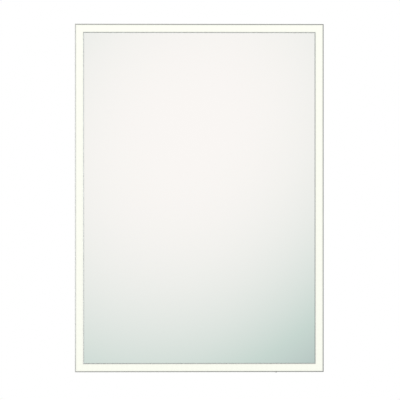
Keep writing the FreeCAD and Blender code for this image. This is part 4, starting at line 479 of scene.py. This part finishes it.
# ---------------------------------------------------------------- the rocker's marks
# How far each mark's middle is from the rocker's, as a share of its length.
MARK_PLACE = 0.27
MARK_BAR = (0.0006, 0.0034)
MARK_RING = 0.0017
MARK_LINE = 0.0006
RING_STEPS = 40
MARK_THICKNESS = 0.00008
MARK_PROUD = 0.00003
PROBE_ROOM = 0.05


def rocker_marks(print_finish):
    """The on and off marks, printed on the rocker's two ends as a bar and a ring that follow its face."""
    low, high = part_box("switch_rocker")
    middle = (low + high) / 2
    reach = (high.x - low.x) * MARK_PLACE
    ring = [circle(MARK_RING), circle(MARK_RING - MARK_LINE)]
    print_mark("switch_mark_on", middle.x - reach, middle.y, [rectangle(*MARK_BAR)], print_finish)
    print_mark("switch_mark_off", middle.x + reach, middle.y, ring, print_finish)


def rectangle(width, length):
    """Its four corners, about its middle."""
    return [(x * width / 2, y * length / 2) for x, y in ((-1, -1), (1, -1), (1, 1), (-1, 1))]


def circle(radius):
    """Points round it, about its middle."""
    turns = (math.tau * step / RING_STEPS for step in range(RING_STEPS))
    return [(radius * math.cos(turn), radius * math.sin(turn)) for turn in turns]


def print_mark(name, x, y, outlines, print_finish):
    """A thin print on the rocker's underside about (x, y): the first outline, less any second one."""
    mesh = bmesh.new()
    laid = [[mesh.verts.new(on_rocker(x + dx, y + dy)) for dx, dy in outline] for outline in outlines]
    if len(laid) == 1:
        mesh.faces.new(laid[0])
    else:
        outer, inner = laid
        for step in range(RING_STEPS):
            after = (step + 1) % RING_STEPS
            mesh.faces.new((outer[step], outer[after], inner[after], inner[step]))
    mesh.normal_update()
    bmesh.ops.solidify(mesh, geom=mesh.faces[:], thickness=MARK_THICKNESS)
    bmesh.ops.recalc_face_normals(mesh, faces=mesh.faces)
    mark = add_mesh(name, mesh, print_finish)
    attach(mark, "rocker")


def on_rocker(x, y):
    """The point at (x, y) a hair below the rocker's underside, found by a ray from below the mirror."""
    rocker = nodes["switch_rocker"]
    below = rocker.matrix_world.inverted() @ Vector((x, y, LOW.z - PROBE_ROOM))
    hit, place, _, _ = rocker.ray_cast(below, Vector((0.0, 0.0, 1.0)))
    if not hit:
        raise RuntimeError("a rocker mark misses the rocker")
    return place - Vector((0.0, 0.0, MARK_PROUD))


def add_mesh(name, mesh, material):
    """A new object in the scene, made of the bmesh, which is freed."""
    data = bpy.data.meshes.new(name)
    mesh.to_mesh(data)
    mesh.free()
    data.materials.append(material)
    added = bpy.data.objects.new(name, data)
    bpy.context.scene.collection.objects.link(added)
    return added


# ---------------------------------------------------------------- the world
# The level at which it lights plain surfaces from all round.
SOFT_LEVEL = 0.60

# The glow that the pane mirrors, straight ahead of it: an oval about GLOW_CENTRE, in the sight line's X and
# Z, whose longer reach is turned by GLOW_TURN radians. It goes from light over dark to deep as it falls off.
GLOW_CENTRE = (-0.0043, 0.0778)
GLOW_REACH = (0.2544, 0.2065)
GLOW_TURN = 0.9927
GLOW_POWER = 2.6612
GLOW_LIGHT = (1.013, 0.968, 0.953)
GLOW_DARK_AT = 1.4
GLOW_DARK = (0.610, 0.711, 0.669)
GLOW_DEEP_AT = 2.22
GLOW_DEEP = (0.465, 0.548, 0.538)

# Round the glow, where the sight line's Y passes SCREEN_START, a screen on each side, dimmer at its ends.
SCREEN_START = (-0.978, -0.94)
SCREEN_EDGE = 0.10
SCREEN_LEFT = 1.00
SCREEN_RIGHT = 0.36
SCREEN_HEIGHT = (0.08, 0.35)
SCREEN_ENDS = 0.35

# Round the screens, where it passes WALL_START, plain walls that get paler over two stretches of its Z.
WALL_START = (-0.90, -0.78)
WALL_LOWER = (-0.6, 0.0)
WALL_UPPER = (0.45, 0.95)
WALL_BELOW = 0.52
WALL_LEVEL = 0.80
WALL_ABOVE = 1.15


def light_world():
    """White to the camera, plain soft light for the surfaces, and a soft studio for what mirrors it."""
    world = bpy.data.worlds.new("studio")
    bpy.context.scene.world = world
    n = ShaderNodes(world)
    ray = n.make("ShaderNodeLightPath").outputs
    seen = n.math("MAXIMUM", ray["Is Camera Ray"], ray["Is Transmission Ray"])
    soft = n.blend(ray["Is Glossy Ray"], grey(SOFT_LEVEL), studio_colour(n))
    shader = n.make("ShaderNodeBackground", {"Color": n.blend(seen, soft, grey(1.0)), "Strength": 1.0})
    n.make("ShaderNodeOutputWorld", {"Surface": shader.outputs[0]})


def studio_colour(n):
    """What a mirror sees of the studio, by the direction it looks in: the glow, the screens and the walls."""
    sight = n.axes(n.make("ShaderNodeTexCoord").outputs["Generated"])
    ahead = glow_colour(n, sight)
    screen = n.spread(sight["X"], -SCREEN_EDGE, SCREEN_EDGE, SCREEN_LEFT, SCREEN_RIGHT)
    level = n.spread(n.math("ABSOLUTE", sight["Z"]), *SCREEN_HEIGHT, 1.0, SCREEN_ENDS)
    screen = n.math("MULTIPLY", screen, level)
    lower = n.spread(sight["Z"], *WALL_LOWER, WALL_BELOW, WALL_LEVEL)
    wall = n.math("ADD", lower, n.spread(sight["Z"], *WALL_UPPER, 0.0, WALL_ABOVE - WALL_LEVEL))
    around = n.spread(sight["Y"], *WALL_START, screen, wall)
    around = n.make("ShaderNodeCombineColor", {0: around, 1: around, 2: around}).outputs[0]
    return n.blend(n.spread(sight["Y"], *SCREEN_START), ahead, around)


def glow_colour(n, sight):
    """The glow ahead of the pane: warm white, and darker and greener the further a sight line is from it."""
    cos, sin = math.cos(GLOW_TURN), math.sin(GLOW_TURN)
    right = n.math("SUBTRACT", sight["X"], GLOW_CENTRE[0])
    above = n.math("SUBTRACT", sight["Z"], GLOW_CENTRE[1])
    first = n.math("ADD", n.math("MULTIPLY", right, cos), n.math("MULTIPLY", above, sin))
    second = n.math("SUBTRACT", n.math("MULTIPLY", above, cos), n.math("MULTIPLY", right, sin))
    first = n.math("DIVIDE", first, GLOW_REACH[0])
    second = n.math("DIVIDE", second, GLOW_REACH[1])
    away = n.math("SQRT", n.math("ADD", n.math("MULTIPLY", first, first), n.math("MULTIPLY", second, second)))
    fall = n.math("POWER", away, GLOW_POWER)
    colour = n.blend(n.spread(fall, 0.0, GLOW_DARK_AT, smooth=False), GLOW_LIGHT, GLOW_DARK)
    return n.blend(n.spread(fall, GLOW_DARK_AT, GLOW_DEEP_AT, smooth=False), colour, GLOW_DEEP)


# ---------------------------------------------------------------- lamps
# The softboxes: azimuth (0 in front, 90 on the right), elevation, distance, side, and the level at which a
# white surface that faces it shines by it alone.
LAMPS = {
    "key": (-40.0, 48.0, 2.6, 1.5, 0.42),
    "fill": (50.0, 42.0, 2.8, 1.6, 0.22),
    "back": (165.0, 45.0, 2.6, 1.6, 0.42),
}

# The strip: its width and height, which share of each fades at either edge, where it is from the middle of
# the left lips, and the level at its own middle.
STRIP_SIZE = (0.40, 1.30)
STRIP_BORDER = (0.5, 0.25)
STRIP_PLACE = (-0.06, -0.60, 0.0)
STRIP_LEVEL = 1.7


def add_softboxes():
    """The softboxes, all turned to the mirror's middle. Mirrors see the world's studio in their place."""
    for name, (azimuth, elevation, distance, side, level) in LAMPS.items():
        place = MIRROR_CENTRE + outward(azimuth, elevation) * distance
        energy = level * (math.pi * distance) ** 2
        holder = add_lamp(f"lamp_{name}", place, MIRROR_CENTRE, (side, side), energy)
        holder.visible_glossy = False


def add_strip():
    """A faint soft lamp in front of the left lips, which are paler than the right ones in the photograph. It
    adds to the gloss of the left profile alone, so it doesn't show in the pane."""
    lips = Vector((LOW.x, FRONT, MIRROR_CENTRE.z))
    energy = STRIP_LEVEL * math.pi * STRIP_SIZE[0] * STRIP_SIZE[1]
    holder = add_lamp("lamp_strip", lips + Vector(STRIP_PLACE), lips, STRIP_SIZE, energy)
    holder.visible_diffuse = False
    holder.visible_camera = False
    lit = bpy.data.collections.new("lit_by_strip")
    lit.objects.link(nodes["frame_left_profile"])
    holder.light_linking.receiver_collection = lit
    fade_at_edges(holder.data, STRIP_BORDER)


def add_lamp(name, place, target, size, energy):
    """An area lamp of that width and height, at place and turned to target."""
    lamp = bpy.data.lights.new(name, "AREA")
    lamp.shape = "RECTANGLE"
    lamp.size, lamp.size_y = size
    lamp.energy = energy
    holder = bpy.data.objects.new(name, lamp)
    holder.location = place
    holder.rotation_euler = (target - place).to_track_quat("-Z", "Y").to_euler()
    bpy.context.scene.collection.objects.link(holder)
    return holder


def fade_at_edges(lamp, borders):
    """Lets an area lamp's light fall to nothing at its edges, over those shares of its width and height."""
    n = ShaderNodes(lamp)
    spot = n.axes(n.geometry("Parametric"))
    glow = 1.0
    for axis, border in zip("XY", borders):
        to_edge = n.math("MINIMUM", spot[axis], n.math("SUBTRACT", 1.0, spot[axis]))
        glow = n.math("MULTIPLY", glow, n.spread(to_edge, 0.0, border))
    shader = n.make("ShaderNodeEmission", {"Strength": glow})
    n.make("ShaderNodeOutputLight", {"Surface": shader.outputs[0]})


def outward(azimuth, elevation):
    """The direction from the mirror to a place at that azimuth and elevation, in degrees."""
    turn, rise = math.radians(azimuth), math.radians(elevation)
    return Vector((math.sin(turn) * math.cos(rise), -math.cos(turn) * math.cos(rise), math.sin(rise)))


# ---------------------------------------------------------------- floor
# The floor is as far under the mirror as under one that hangs over a basin.
FLOOR_DROP = 1.13
FLOOR_RADIUS = 2.6
FLOOR_FADE = (1.1, 0.98 * FLOOR_RADIUS)
FLOOR_STEPS = 96
FLOOR_PALE = (0.80, 0.80, 0.79)
FLOOR_DULLER = (0.77, 0.77, 0.765)
FLOOR_ROUGHNESS = (0.6, 0.75)
FLOOR_BLOB_GRAIN = 0.35
FLOOR_WEAR_GRAIN = 0.05
FLOOR_TEXTURE = (0.004, 0.0002)


def floor_paint(name):
    """Pale floor paint that fades into the white round it, seen only from above."""
    n = material_nodes(name)
    blobs = n.noise(FLOOR_BLOB_GRAIN, detail=4.0)
    paint = n.make("ShaderNodeBsdfPrincipled", {
        "Base Color": n.blend(n.spread(blobs, *CRISP), FLOOR_PALE, FLOOR_DULLER),
        "Roughness": n.spread(n.noise(FLOOR_WEAR_GRAIN), *WIDE, *FLOOR_ROUGHNESS),
        "Normal": n.texture(*FLOOR_TEXTURE),
    })
    place = n.axes(n.place())
    squared = n.math("ADD", n.math("POWER", place["X"], 2.0), n.math("POWER", place["Y"], 2.0))
    faded = n.spread(n.math("SQRT", squared), *FLOOR_FADE)
    unseen = n.math("MAXIMUM", faded, n.geometry("Backfacing"))
    clear = n.make("ShaderNodeBsdfTransparent")
    mix = n.make("ShaderNodeMixShader", {0: unseen, 1: paint.outputs[0], 2: clear.outputs[0]})
    n.make("ShaderNodeOutputMaterial", {"Surface": mix.outputs[0]})
    return n.owner


def add_floor():
    """A round floor under the mirror, out of the photograph's view."""
    mesh = bmesh.new()
    bmesh.ops.create_circle(mesh, cap_ends=True, radius=FLOOR_RADIUS, segments=FLOOR_STEPS)
    floor = add_mesh("floor", mesh, floor_paint("pale_floor"))
    floor.location = (0.0, 0.0, LOW.z - FLOOR_DROP)


# ---------------------------------------------------------------- camera
# The photograph, in its pixels: how wide it is, and where the mirror's middle is in it.
IMAGE_SIZE = 400
MIRROR_PIXEL = (199.4, 198.0)
METRES_PER_PIXEL = 0.0020098

# A short telephoto that stands a little to the left of the mirror's middle.
LENS = 85.0
SENSOR = 36.0
CAMERA_YAW = math.radians(0.37)
CAMERA_DISTANCE = IMAGE_SIZE * METRES_PER_PIXEL * LENS / SENSOR


def add_camera():
    """Level with the mirror's middle and a touch to its left. It stands off to the side by what the
    photograph's mirror is off its middle, so that the lens needs no shift."""
    data = bpy.data.cameras.new("camera")
    data.lens = LENS
    data.sensor_width = SENSOR
    camera = bpy.data.objects.new("camera", data)
    back = Vector((-math.sin(CAMERA_YAW), -math.cos(CAMERA_YAW), 0.0))
    right = Vector((math.cos(CAMERA_YAW), -math.sin(CAMERA_YAW), 0.0))
    aside = (IMAGE_SIZE / 2 - MIRROR_PIXEL[0]) * METRES_PER_PIXEL
    lowered = (IMAGE_SIZE / 2 - MIRROR_PIXEL[1]) * METRES_PER_PIXEL
    camera.location = MIRROR_CENTRE + back * CAMERA_DISTANCE + right * aside - Vector((0.0, 0.0, lowered))
    camera.rotation_euler = (-back).to_track_quat("-Z", "Y").to_euler()
    bpy.context.scene.collection.objects.link(camera)
    bpy.context.scene.camera = camera


def build():
    finishes = make_finishes()
    dress_nodes(finishes)
    rocker_marks(finishes["white_print"])
    light_world()
    add_softboxes()
    add_strip()
    add_floor()
    add_camera()
    bpy.context.scene.view_settings.view_transform = "Standard"


build()
